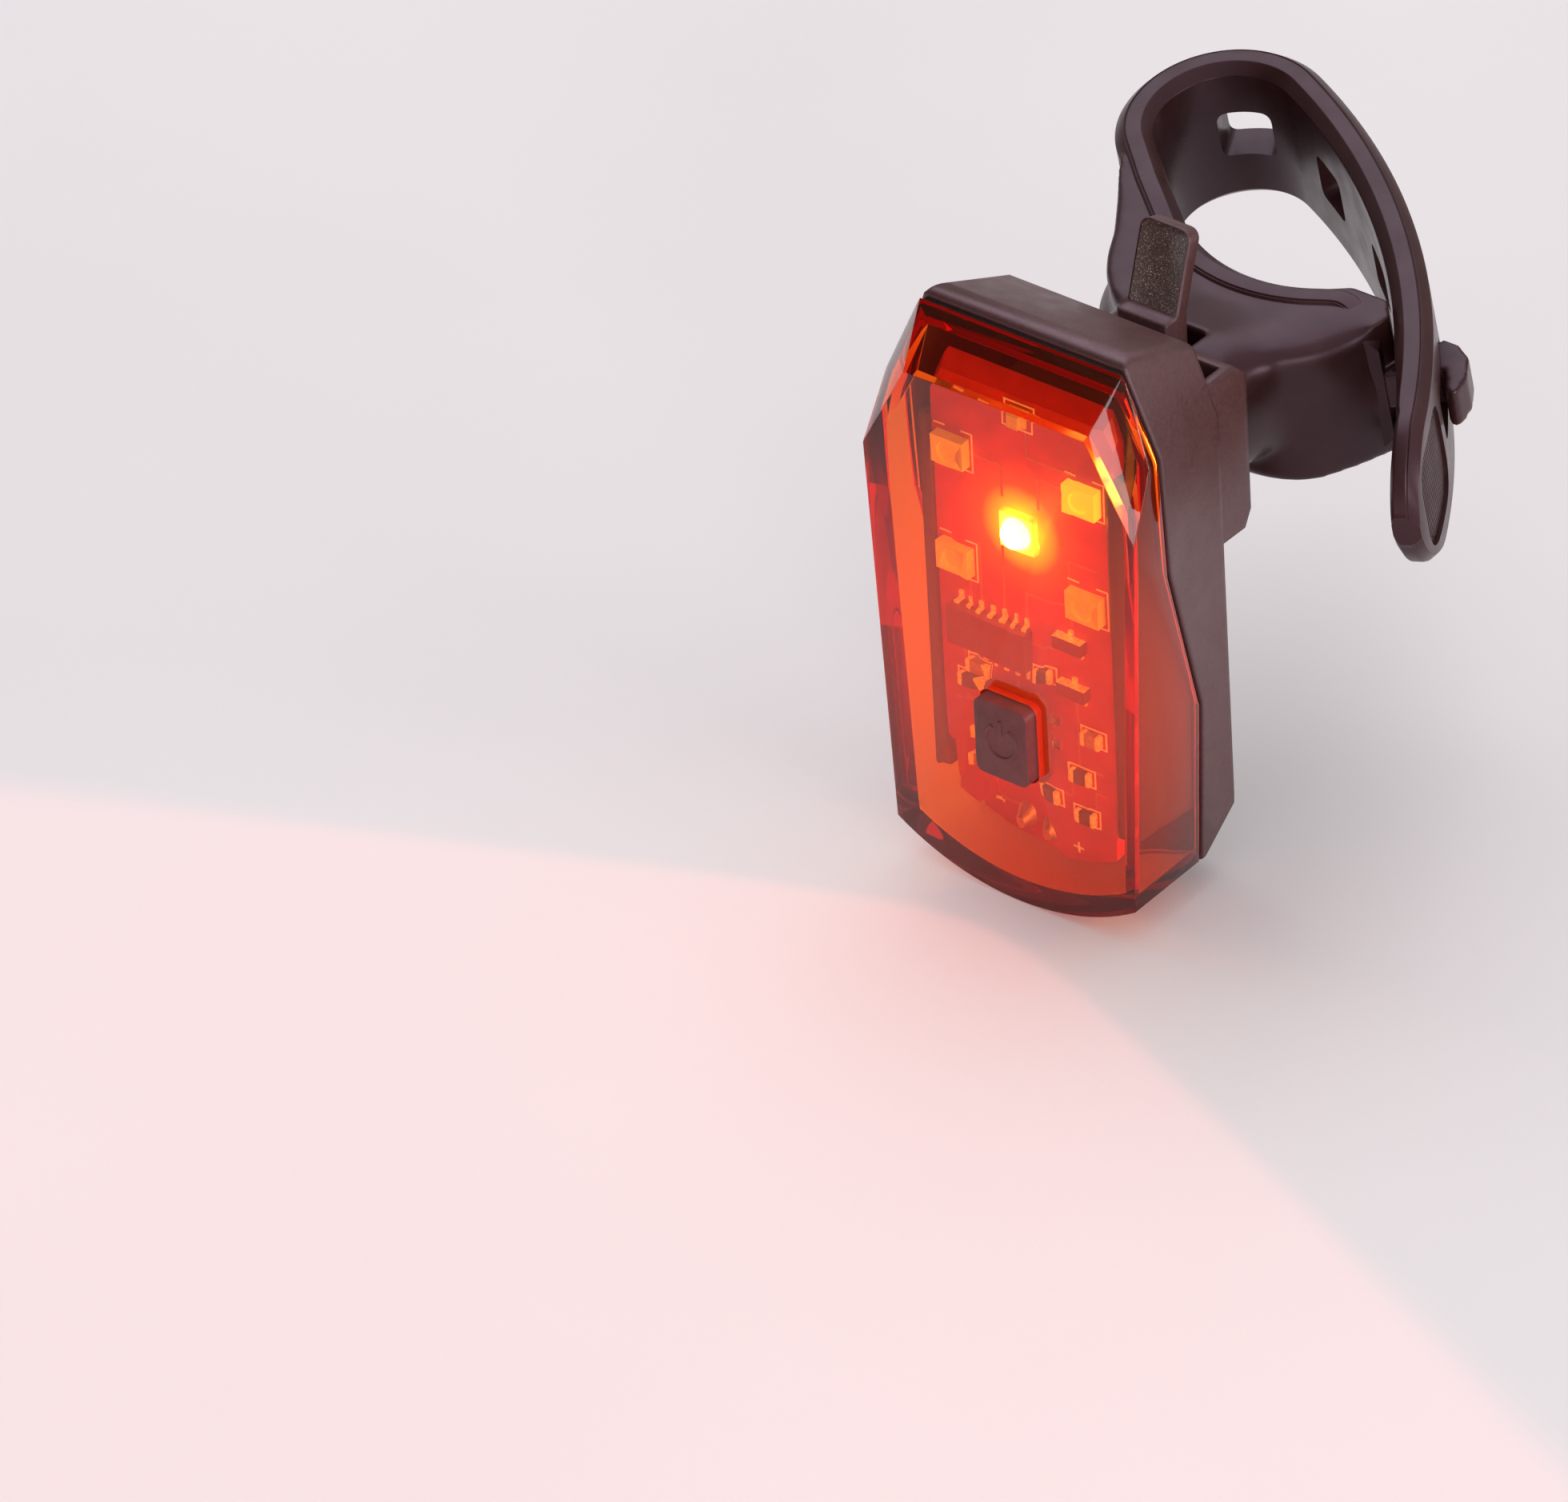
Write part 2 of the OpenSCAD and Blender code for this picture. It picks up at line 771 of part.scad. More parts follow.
// Rails that carry the board on each flank
module board_rails()
{
    rail_out = board_w / 2 + rail_side;
    for (side = [0, 1])
        mirror([side, 0, 0]) {
            span([board_w / 2 - rail_under, board_back, rail_z],
                [rail_out, floor_y + touch, rail_top]);
            span([board_w / 2 + rail_gap, board_y - rail_lip, rail_z],
                [rail_out, floor_y + touch, rail_top]);
        }
}

// Black housing: shell, clip block, board rails and socket boss
module rear_housing()
{
    boss_w = cover_w + 2 * boss_rim;
    color("#2e2a2b")
        in_lamp()
            difference() {
                union() {
                    difference() {
                        lamp_form();
                        front_space(seal_t);
                        lamp_form(housing_wall);
                    }
                    intersection() {
                        lamp_form(housing_wall / 2);
                        span([-boss_w / 2, part_low_y + seal_t, 0], [boss_w / 2, lamp_d, boss_top]);
                    }
                    for (x = [-1, 1])
                        translate([x * lug_x, 0, lug_z])
                            span([-lug_w / 2, charge_board_y + charge_board_t, -lug_h / 2],
                                [lug_w / 2, floor_y + touch, lug_h / 2]);
                    board_rails();
                    clip_block();
                }
                span([-socket_w / 2 - cover_clear, socket_y - cover_clear, -1],
                    [socket_w / 2 + cover_clear, socket_y + socket_t + cover_clear, boss_top + touch]);
                span([-cover_w / 2 - cover_clear, cover_y - cover_clear, -1],
                    [cover_w / 2 + cover_clear, lamp_d + 1, cover_top]);
            }
}

// Red lens with the button's window
module front_lens()
{
    color("#c8261c", 0.6)
        in_lamp()
            difference() {
                intersection() {
                    lamp_form();
                    front_space();
                }
                lamp_form(lens_wall);
                translate([0, -cut_over, button_z])
                    round_block(button_w + 2 * button_clear, button_h + 2 * button_clear,
                        button_round + button_clear, lens_wall + 2 * cut_over);
            }
}

// Seal in the joint between lens and housing
module lens_seal()
{
    color("#161414")
        in_lamp()
            difference() {
                intersection() {
                    lamp_form(seal_inset);
                    front_space(seal_t);
                }
                front_space();
                lamp_form(min(lens_wall, housing_wall) - seal_inset);
            }
}

// Rubber button with its flange, its nub and a raised standby mark
module power_button()
{
    color("#3c2626")
        in_lamp()
            translate([0, 0, button_z]) {
                translate([0, -button_out, 0])
                    round_block(button_w, button_h, button_round, flange_front + button_out + touch);
                translate([0, flange_front, 0])
                    round_block(button_w + 2 * flange_lip, button_h + 2 * flange_lip,
                        button_round + flange_lip, button_flange);
                translate([0, flange_front + button_flange - touch, 0])
                    rotate([-90, 0, 0])
                        cylinder(r = plunger_r, h = nub_h + touch);
                translate([0, -button_out + touch, 0])
                    rotate([90, 0, 0]) {
                        rotate([0, 0, 120])
                            rotate_extrude(angle = 300)
                                translate([mark_r, 0])
                                    square([mark_line, mark_h]);
                        translate([-mark_line / 2, mark_r / 2, 0])
                            cube([mark_line, mark_r, mark_h]);
                    }
            }
}

// Plunger of the switch, pressed by the button's nub
module switch_plunger()
{
    color("#8a8a88")
        in_lamp()
            translate([0, plunger_y, button_z])
                rotate([-90, 0, 0])
                    cylinder(r = plunger_r, h = board_y - plunger_y - button_travel - plunger_gap);
}

// Body of the switch under the button, with its four legs
module tact_switch()
{
    color("#222222")
        in_lamp()
            difference() {
                translate([0, 0, button_z]) {
                    span([-switch_size.x / 2, switch_y, -switch_size.y / 2],
                        [switch_size.x / 2, board_y, switch_size.y / 2]);
                    for (x = [-1, 1], z = [-1, 1])
                        translate([x * switch_size.x / 2, board_y - switch_leg.y / 2,
                            z * switch_size.y / 3])
                            cube([2 * switch_leg.x, switch_leg.y, switch_leg.z], center = true);
                }
                translate([0, switch_y - 1, button_z])
                    rotate([-90, 0, 0])
                        cylinder(r = plunger_r + plunger_gap, h = big);
            }
}

// Printed board, drilled for the battery leads
module circuit_board()
{
    color("#7d1f22")
        in_lamp()
            difference() {
                intersection() {
                    lamp_form(board_inset);
                    span([-board_w / 2, board_y, 0], [board_w / 2, board_back, rim_z]);
                }
                for (x = [-1, 1])
                    translate([x * lead_x, 0, lead_z])
                        rotate([-90, 0, 0])
                            cylinder(r = lead_r + drill_gap, h = 2 * board_back);
            }
}

// Part on the board's front: base block about [x, z], standing h proud
module board_block(at, w, h, proud)
{
    span([at.x - w / 2, board_y - proud, at.y - h / 2], [at.x + w / 2, board_y, at.y + h / 2]);
}

// Main lamp: base with a domed lens
module main_led()
{
    dome_r = main_led_w * 0.4;
    dome_h = dome_r * 0.7;
    color("#ffe9b0")
        in_lamp() {
            board_block([0, main_led_z], main_led_w, main_led_w, main_led_base);
            translate([0, board_y - main_led_base, main_led_z])
                intersection() {
                    sphere(r = dome_r);
                    span([-big, -dome_h, -big], [big, touch, big]);
                }
        }
}

// Side lamp: a flat package with a shallow window
module side_lamp(x, z)
{
    window_d = 0.25;
    window_r = side_led.y * 0.35;
    color("#e8c9a0")
        in_lamp()
            difference() {
                board_block([x, z], side_led.x, side_led.y, side_led.z);
                translate([x, board_y - side_led.z, z])
                    rotate([90, 0, 0])
                        cylinder(r1 = window_r, r2 = window_r * 1.2, h = 2 * window_d, center = true);
            }
}

module upper_left_led() side_lamp(-side_led_x, upper_led_z);
module upper_right_led() side_lamp(side_led_x, upper_led_z);
module lower_left_led() side_lamp(-side_led_x, lower_led_z);
module lower_right_led() side_lamp(side_led_x, lower_led_z);

// Small indicator lamp at the board's top
module indicator_led()
{
    color("#d8e0c8")
        in_lamp() {
            board_block([0, indicator_z], chip_part.x, chip_part.y, chip_part.z / 2);
            board_block([0, indicator_z], chip_part.x * 0.6, chip_part.y, chip_part.z * 1.3);
        }
}

// Fourteen-pin controller with its bent leads
module controller_chip()
{
    lead_w = chip_pitch / 3;
    lead_t = 0.2;
    foot_l = 0.8;
    knee = 0.15;
    body_y = chip_size.z * 0.4;
    stand_off = 0.1;
    reach = chip_size.y / 2 + 1.05;
    color("#1d1b1b")
        in_lamp() {
            translate([0, -stand_off, 0])
                board_block(chip_at, chip_size.x, chip_size.y, chip_size.z - stand_off);
            for (i = [0 : chip_pins - 1], side = [0, 1])
                translate([chip_at.x + (i - (chip_pins - 1) / 2) * chip_pitch, board_y, chip_at.y])
                    mirror([0, 0, side])
                        across(lead_w)
                            polygon([
                                [0, reach], [0, reach - foot_l], [-body_y, reach - foot_l - knee],
                                [-body_y, chip_size.y / 2 - touch],
                                [-body_y - lead_t, chip_size.y / 2 - touch],
                                [-body_y - lead_t, reach - foot_l],
                                [-lead_t, reach - foot_l + knee], [-lead_t, reach],
                            ]);
        }
}

// Two small driver transistors, each with three feet
module transistors()
{
    color("#232020")
        in_lamp()
            for (at = transistor_at) {
                board_block(at, transistor_size.x, transistor_size.y, transistor_size.z);
                for (foot = [[0, 1], [-1, -1], [1, -1]])
                    board_block(at + [foot.x * transistor_pitch, foot.y * (transistor_size.y / 2 + 0.25)],
                        transistor_foot.x, transistor_foot.y, transistor_foot.z);
            }
}

// Chip resistors
module resistors()
{
    color("#3a2f2c")
        in_lamp()
            for (at = resistor_at)
                board_block(at, chip_part.x, chip_part.y, chip_part.z);
}

// Chip capacitors
module capacitors()
{
    color("#b08a60")
        in_lamp()
            for (at = capacitor_at)
                board_block(at, chip_part.x, chip_part.y, chip_part.z * 1.4);
}

// Solder cones over the battery leads
module solder_joints()
{
    color("#c9c9c9")
        in_lamp()
            for (x = [-1, 1])
                translate([x * lead_x, board_y, lead_z])
                    rotate([90, 0, 0])
                        cylinder(r1 = solder_r, r2 = lead_r, h = solder_h);
}

// Pouch cell
module battery_cell()
{
    color("#b9bcc2")
        in_lamp()
            translate([0, cell_y, cell_z + cell_l / 2])
                round_block(cell_w, cell_l, cell_t / 5, cell_t);
}

// Foam pad between the cell and the housing
module battery_pad()
{
    margin = 1.5;
    color("#d8d4c4")
        in_lamp()
            span([-cell_w / 2 + margin, cell_y + cell_t, cell_z + margin],
                [cell_w / 2 - margin, floor_y, cell_z + cell_l - margin]);
}

// Battery lead from the board's back, round a bend, up to the cell
module battery_lead(x)
{
    bend = 4 * lead_r;
    start = board_y + drill_gap;
    up_y = cell_y + cell_t / 4;
    in_lamp()
        translate([x, 0, lead_z]) {
            translate([0, start, 0])
                rotate([-90, 0, 0])
                    cylinder(r = lead_r, h = up_y - bend - start, $fn = 24);
            translate([0, up_y - bend, bend])
                rotate([0, -90, 0])
                    rotate([0, 0, 180])
                        rotate_extrude(angle = -90, $fn = 48)
                            translate([bend, 0])
                                circle(lead_r, $fn = 24);
            translate([0, up_y, bend])
                cylinder(r = lead_r, h = cell_z - lead_z - bend, $fn = 24);
        }
}

module positive_lead() color("#b02020") battery_lead(lead_x);
module negative_lead() color("#1a1a1a") battery_lead(-lead_x);

// Small board that carries the charge socket
module charge_board()
{
    color("#1f5a3a")
        in_lamp()
            span([-charge_board_w / 2, charge_board_y, charge_board_z],
                [charge_board_w / 2, charge_board_y + charge_board_t, charge_board_z + charge_board_h]);
}

// Metal shell of the charge socket, open downwards, with its contact bar
module charge_socket()
{
    bar_t = 0.6;
    bar_z = 0.8;
    color("#b8b8b8")
        in_lamp()
            translate([0, socket_y, socket_z]) {
                difference() {
                    span([-socket_w / 2, 0, 0], [socket_w / 2, socket_t, socket_l]);
                    span([-socket_w / 2 + socket_wall, socket_wall, -cut_over],
                        [socket_w / 2 - socket_wall, socket_t - socket_wall, socket_l - socket_wall]);
                }
                span([-socket_w / 4, (socket_t - bar_t) / 2, bar_z],
                    [socket_w / 4, (socket_t + bar_t) / 2, socket_l - socket_wall + touch]);
            }
}

// Pins that join the charge board to the main board
module link_pins()
{
    color("#c8a850")
        in_lamp()
            for (x = [-pin_x, pin_x])
                translate([x, board_back, pin_z])
                    rotate([-90, 0, 0])
                        cylinder(r = pin_r, h = charge_board_y - board_back, $fn = 24);
}

// Rubber cover under the charge socket, flush with the underside
module charge_cover()
{
    color("#1e1b1b")
        in_lamp()
            intersection() {
                lamp_form();
                span([-cover_w / 2, cover_y, -1], [cover_w / 2, cover_back, cover_t]);
            }
}

saddle();
strap();
clip_tongue();
release_lever();
rear_housing();
front_lens();
lens_seal();
power_button();
switch_plunger();
tact_switch();
circuit_board();
main_led();
upper_left_led();
upper_right_led();
lower_left_led();
lower_right_led();
indicator_led();
controller_chip();
transistors();
resistors();
capacitors();
solder_joints();
battery_cell();
battery_pad();
positive_lead();
negative_lead();
charge_board();
charge_socket();
link_pins();
charge_cover();
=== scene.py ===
"""Looks of the bicycle rear light: meshes, materials, light and camera in the part's own frame."""
import math

import bmesh
import bpy
from mathutils import Matrix, Vector
from mathutils.bvhtree import BVHTree


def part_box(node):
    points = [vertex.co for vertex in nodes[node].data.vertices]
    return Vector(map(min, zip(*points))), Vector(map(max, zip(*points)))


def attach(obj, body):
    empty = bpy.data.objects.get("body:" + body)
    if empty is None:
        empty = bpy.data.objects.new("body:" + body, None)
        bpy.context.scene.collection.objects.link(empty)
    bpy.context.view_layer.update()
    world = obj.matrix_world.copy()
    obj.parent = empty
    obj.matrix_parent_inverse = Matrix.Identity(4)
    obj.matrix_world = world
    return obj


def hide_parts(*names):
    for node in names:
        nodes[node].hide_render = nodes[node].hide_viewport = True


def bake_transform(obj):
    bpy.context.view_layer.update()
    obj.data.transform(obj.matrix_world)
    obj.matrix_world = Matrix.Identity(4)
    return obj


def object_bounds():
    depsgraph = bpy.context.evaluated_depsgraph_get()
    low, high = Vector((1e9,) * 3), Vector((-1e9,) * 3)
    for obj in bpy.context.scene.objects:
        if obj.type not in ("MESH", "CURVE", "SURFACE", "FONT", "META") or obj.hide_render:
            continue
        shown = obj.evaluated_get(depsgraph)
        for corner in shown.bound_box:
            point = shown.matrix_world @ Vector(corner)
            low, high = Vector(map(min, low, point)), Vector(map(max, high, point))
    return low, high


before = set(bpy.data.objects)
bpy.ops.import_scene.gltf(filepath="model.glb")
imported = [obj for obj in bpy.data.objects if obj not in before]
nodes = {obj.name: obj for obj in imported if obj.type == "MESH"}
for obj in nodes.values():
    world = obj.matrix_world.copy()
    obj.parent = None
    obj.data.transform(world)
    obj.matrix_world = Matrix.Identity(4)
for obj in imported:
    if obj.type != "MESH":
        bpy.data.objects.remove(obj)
cad_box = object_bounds()
scene = bpy.context.scene

MM = 0.001
LAMP_AT = (0.0, -37.5, -39.6)
LOOP_TILT = math.radians(11)

# Camera fitted to the photo: azimuth, elevation and roll in degrees, focal length, and place from
# the lens front's lowest point, both in millimetres
CAMERA_TURN = (40.824, 34.223, 3.48)
CAMERA_LENS = 317.76
CAMERA_AT = (640.6, -771.8, 699.5)

# Sizes of the strap and saddle in the loop's plane, in millimetres
STRAP_T = 3.5
STRAP_W = 15.5
STRAP_FLAT = 1.5
STRAP_BEVEL = 1.0
POST_R = 15.8
BEND_C = Vector((-14.3, 15.6))
BEND_R = 8.2
RUN_R = 71.4
RUN_ANGLE = 66.6
TAIL_ANGLE = 28.7
TAIL_R = 8.0
ROOT_ANGLE = 228.6
HOOK_ANGLE = 40.2
HOOK_L = 3.7
HOLE_PITCH = 14.0
HOLE_L = 5.0
HOLE_H = 5.0
HOOK_HOLE_L = 9.0
LAST_HOLE_ANGLE = 117.0
# Slack of the hook in its hole
HOOK_SLACK = 0.6
# Strap thickness lost towards the tail
TAIL_THIN = 0.9
# Ribbed panel on the tail: degrees past the tail's angle, size along and across, corner, depth
PANEL_TURN = -0.6
PANEL_L = 10.5
PANEL_H = 10.2
PANEL_CORNER = 3.4
PANEL_D = 0.5
RUN_DEG = math.degrees(1 / RUN_R)


def polar(r, degrees):
    """A point of the loop's plane, at a radius and an angle."""
    a = math.radians(degrees)
    return Vector((r * math.cos(a), r * math.sin(a)))


RUN_C = BEND_C - polar(RUN_R - BEND_R, RUN_ANGLE)
ROOT_WAY = polar(1, ROOT_ANGLE + 90)
ROOT_L = (
    Vector((0, POST_R)) + polar(POST_R, ROOT_ANGLE)
    - BEND_C - polar(BEND_R - STRAP_T / 2, ROOT_ANGLE)
).length
# Rim of the seat: angle round the post where it leaves the seat, and its way on from there
HORN_ANGLE = 296.0
HORN_WAY = ((9.6, 0.75), (11.3, 0.5), (12.6, -0.6), (13.4, -2.2))


def lamp(x, y, z):
    """A point given from the lens front's lowest point, in millimetres."""
    return Vector((x + LAMP_AT[0], y + LAMP_AT[1], z + LAMP_AT[2])) * MM


def loop(x, y, z=0.0):
    """A point given in the tilted plane of the strap's loop, in millimetres."""
    return Matrix.Rotation(LOOP_TILT, 3, "X") @ Vector((x, y, z)) * MM


# Camera

def add_camera():
    azimuth, elevation, roll = (math.radians(v) for v in CAMERA_TURN)
    right = Vector((math.cos(azimuth), math.sin(azimuth), 0))
    ahead = Vector((
        -math.sin(azimuth) * math.cos(elevation),
        math.cos(azimuth) * math.cos(elevation),
        -math.sin(elevation),
    ))
    up = right.cross(ahead)
    image_right = math.cos(roll) * right - math.sin(roll) * up
    image_up = math.sin(roll) * right + math.cos(roll) * up
    data = bpy.data.cameras.new("camera")
    data.sensor_width = 36
    data.lens = CAMERA_LENS
    data.clip_start = 0.01
    data.clip_end = 20
    camera = bpy.data.objects.new("camera", data)
    turn = Matrix((image_right, image_up, -ahead)).transposed().to_4x4()
    camera.matrix_world = Matrix.Translation(lamp(*CAMERA_AT)) @ turn
    scene.collection.objects.link(camera)
    scene.camera = camera


# Materials

class Surface:
    """A material of one Principled shader, with patterns taken from the part's own frame."""

    def __init__(self, name, color, roughness, **values):
        self.material = bpy.data.materials.new(name)
        self.material.use_nodes = True
        self.tree = self.material.node_tree
        self.shader = self.tree.nodes["Principled BSDF"]
        self.shader.inputs["Base Color"].default_value = (*color, 1)
        self.shader.inputs["Roughness"].default_value = roughness
        for socket, value in values.items():
            self.shader.inputs[socket.replace("_", " ")].default_value = value
        self.place = None

    def node(self, kind, **values):
        made = self.tree.nodes.new("ShaderNode" + kind)
        for key, value in values.items():
            setattr(made, key, value)
        return made

    def link(self, out, into):
        self.tree.links.new(out, into)

    def here(self):
        """Place on the piece, in the part's own frame."""
        if self.place is None:
            self.place = self.node("TexCoord")
        return self.place.outputs["Object"]

    def noise(self, size, detail=3.0):
        """Noise whose grain is about size millimetres across."""
        noise = self.node("TexNoise")
        noise.inputs["Scale"].default_value = 1 / (size * MM)
        noise.inputs["Detail"].default_value = detail
        self.link(self.here(), noise.inputs["Vector"])
        return noise.outputs["Fac"]

    def ramp(self, source, stops, socket):
        """Colours or values along a ramp, from low to high, into a socket."""
        ramp = self.node("ValToRGB")
        for i, (at, value) in enumerate(stops):
            step = ramp.color_ramp.elements[i] if i < 2 else ramp.color_ramp.elements.new(at)
            step.position = at
            step.color = (*value, 1) if isinstance(value, tuple) else (value, value, value, 1)
        self.link(source, ramp.inputs["Fac"])
        self.link(ramp.outputs["Color"], self.shader.inputs[socket])

    def mottle(self, size, low, high):
        """Base colour that wanders between two, in patches of about size millimetres."""
        self.ramp(self.noise(size), ((0.3, low), (0.7, high)), "Base Color")
        return self

    def patchy_gloss(self, size, low, high):
        """Roughness that wanders between two values."""
        self.ramp(self.noise(size, 4.0), ((0.3, low), (0.7, high)), "Roughness")
        return self

    def grain(self, size, depth, detail=2.0):
        """Fine relief, depth in millimetres."""
        bump = self.node("Bump")
        bump.inputs["Strength"].default_value = 1.0
        bump.inputs["Distance"].default_value = depth * MM
        self.link(self.noise(size, detail), bump.inputs["Height"])
        last = self.shader.inputs["Normal"]
        if last.is_linked:
            self.link(last.links[0].from_socket, bump.inputs["Normal"])
        self.link(bump.outputs["Normal"], last)
        return self

    def soft_edges(self, radius):
        """Edges that catch the light as if they were rounded, radius in millimetres."""
        bevel = self.node("Bevel", samples=6)
        bevel.inputs["Radius"].default_value = radius * MM
        self.link(bevel.outputs["Normal"], self.shader.inputs["Normal"])
        return self

    def glow(self, color, strength):
        # Emission; on parts that are no lamp it is painted glow
        self.shader.inputs["Emission Color"].default_value = (*color, 1)
        self.shader.inputs["Emission Strength"].default_value = strength
        return self

    def spill(self, centre, reach, strength, stops):
        """Glow down a ramp with the distance from a point, reach in millimetres; on the main lamp
        it is its own light, elsewhere painted glow.
        """
        apart = self.node("VectorMath", operation="DISTANCE")
        apart.inputs[1].default_value = centre
        self.link(self.here(), apart.inputs[0])
        share = self.node("MapRange")
        share.inputs["From Max"].default_value = reach * MM
        self.link(apart.outputs["Value"], share.inputs["Value"])
        self.ramp(share.outputs["Result"], stops, "Emission Color")
        self.shader.inputs["Emission Strength"].default_value = strength
        return self

    def absorb(self, color, density):
        """Colour that deepens with the length of the light's way through."""
        volume = self.node("VolumeAbsorption")
        volume.inputs["Color"].default_value = (*color, 1)
        volume.inputs["Density"].default_value = density
        self.link(volume.outputs["Volume"], self.tree.nodes["Material Output"].inputs["Volume"])
        return self


def make_materials():
    """Every finish by name; the main lamp glows, and the lens and what lies under it carry painted
    glow for its light.
    """
    m = {}
    m["lens"] = Surface(
        "clear_red", (1.0, 0.95, 0.92), 0.02, Transmission_Weight=1.0, IOR=1.46,
    ).absorb((0.985, 0.6, 0.02), 1150)
    # Painted glow: red emission in the lens, strongest near the main lamp, stands for its light
    # scattered in the lens
    m["lens"].grain(3.0, 0.003, 1.0).spill(lamp(0, 0, 24), 31, 0.14, (
        (0.0, (1.0, 0.06, 0.012)), (0.4, (0.75, 0.045, 0.008)), (0.8, (0.14, 0.006, 0.001)),
    ))
    # Painted glow: the lens rim glows red with emission, standing for light carried along the lens
    # wall
    m["lens_rim"] = Surface("lens_rim", (0.7, 0.05, 0.03), 0.3)
    m["lens_rim"].mottle(1.5, (0.6, 0.04, 0.02), (0.8, 0.06, 0.03)).glow((1.0, 0.09, 0.025), 0.22)
    # Painted glow: the button's well glows faintly red with emission
    m["well"] = Surface("button_well", (0.4, 0.03, 0.02), 0.35)
    m["well"].mottle(1.0, (0.34, 0.024, 0.016), (0.46, 0.036, 0.025)).glow((1.0, 0.05, 0.015), 0.08)
    # Painted sheen colour: the specular tint turns the reflections lilac, standing for a cool light
    # from above
    m["housing"] = Surface(
        "satin_black", (0.072, 0.028, 0.025), 0.38,
        Specular_IOR_Level=0.7, Specular_Tint=(1.0, 0.8, 0.95, 1),
    )
    m["housing"].mottle(0.35, (0.06, 0.022, 0.02), (0.084, 0.034, 0.03))
    m["housing"].soft_edges(0.7).patchy_gloss(2.5, 0.32, 0.44).grain(0.2, 0.012)
    # Painted glints: light flecks in the base colour stand for the sparkle of the textured face,
    # over a real fine grain
    m["tab"] = Surface("black_painted_sparkle", (0.11, 0.07, 0.06), 0.32, Specular_IOR_Level=0.8)
    m["tab"].ramp(m["tab"].noise(0.1, 1.0), (
        (0.58, (0.065, 0.036, 0.03)), (0.72, (0.52, 0.4, 0.34)),
    ), "Base Color")
    m["tab"].grain(0.25, 0.05)
    # Painted sheen colour: the specular tint turns the reflections lilac, standing for a cool light
    # from above
    m["rubber"] = Surface(
        "strap_rubber", (0.034, 0.0115, 0.0105), 0.33,
        Specular_IOR_Level=0.37, Specular_Tint=(1.0, 0.78, 0.98, 1),
    )
    m["rubber"].mottle(4.0, (0.028, 0.009, 0.008), (0.04, 0.014, 0.013))
    m["rubber"].patchy_gloss(3.0, 0.27, 0.38).grain(0.22, 0.006).grain(6.0, 0.02, 1.0)
    m["seal"] = Surface("seal_rubber", (0.012, 0.01, 0.01), 0.7, Specular_IOR_Level=0.1)
    m["seal"].mottle(1.0, (0.01, 0.008, 0.008), (0.02, 0.017, 0.016))
    m["button"] = Surface("button_rubber", (0.15, 0.028, 0.03), 0.5)
    m["button"].mottle(1.2, (0.13, 0.023, 0.025), (0.17, 0.034, 0.036)).grain(0.2, 0.008)
    m["board"] = Surface("solder_mask", (0.55, 0.025, 0.02), 0.4)
    m["board"].mottle(2.5, (0.48, 0.02, 0.015), (0.62, 0.03, 0.024)).patchy_gloss(1.5, 0.3, 0.45)
    # Painted glow: a pool of yellow and orange emission on the board round the main lamp stands for
    # its light falling there
    m["board"].spill(lamp(0, 4, 37.5), 13.0, 2.4, (
        (0.14, (1.0, 0.8, 0.01)), (0.22, (0.8, 0.42, 0.005)), (0.34, (0.15, 0.05, 0.001)),
        (0.55, (0.03, 0.003, 0.0005)), (1.0, (0.006, 0.0003, 0.0001)),
    ))
    m["trace"] = Surface("board_trace", (0.62, 0.12, 0.05), 0.35)
    m["trace"].mottle(1.0, (0.56, 0.1, 0.04), (0.68, 0.14, 0.06))
    # Painted glow: the print glows warm with emission
    m["print"] = Surface("board_print", (0.85, 0.82, 0.75), 0.6)
    m["print"].mottle(0.6, (0.7, 0.66, 0.6), (0.9, 0.88, 0.82)).glow((1.0, 0.7, 0.4), 0.25)
    m["tin"] = Surface("tin_with_painted_glow", (0.9, 0.82, 0.6), 0.28, Metallic=0.6)
    m["tin"].patchy_gloss(0.4, 0.2, 0.4).mottle(0.5, (0.8, 0.7, 0.48), (0.95, 0.88, 0.66))
    # Painted highlights: the tin glows orange with emission
    m["tin"].glow((1.0, 0.7, 0.15), 0.35)
    m["metal"] = Surface("tinned_metal", (0.78, 0.76, 0.73), 0.3, Metallic=1.0)
    m["metal"].patchy_gloss(0.4, 0.2, 0.42).grain(0.3, 0.01)
    m["chip"] = Surface("chip_black", (0.14, 0.03, 0.028), 0.5)
    m["chip"].mottle(0.3, (0.11, 0.022, 0.02), (0.17, 0.04, 0.037)).grain(0.12, 0.006)
    # Painted glow: the chip's body glows faintly red
    m["chip"].glow((1.0, 0.03, 0.01), 0.09)
    m["resistor"] = Surface("resistor_body", (0.09, 0.08, 0.08), 0.45)
    m["resistor"].mottle(0.4, (0.05, 0.045, 0.045), (0.14, 0.12, 0.12))
    m["capacitor"] = Surface("capacitor_body", (0.5, 0.36, 0.22), 0.5)
    m["capacitor"].mottle(0.4, (0.42, 0.29, 0.17), (0.6, 0.45, 0.3))
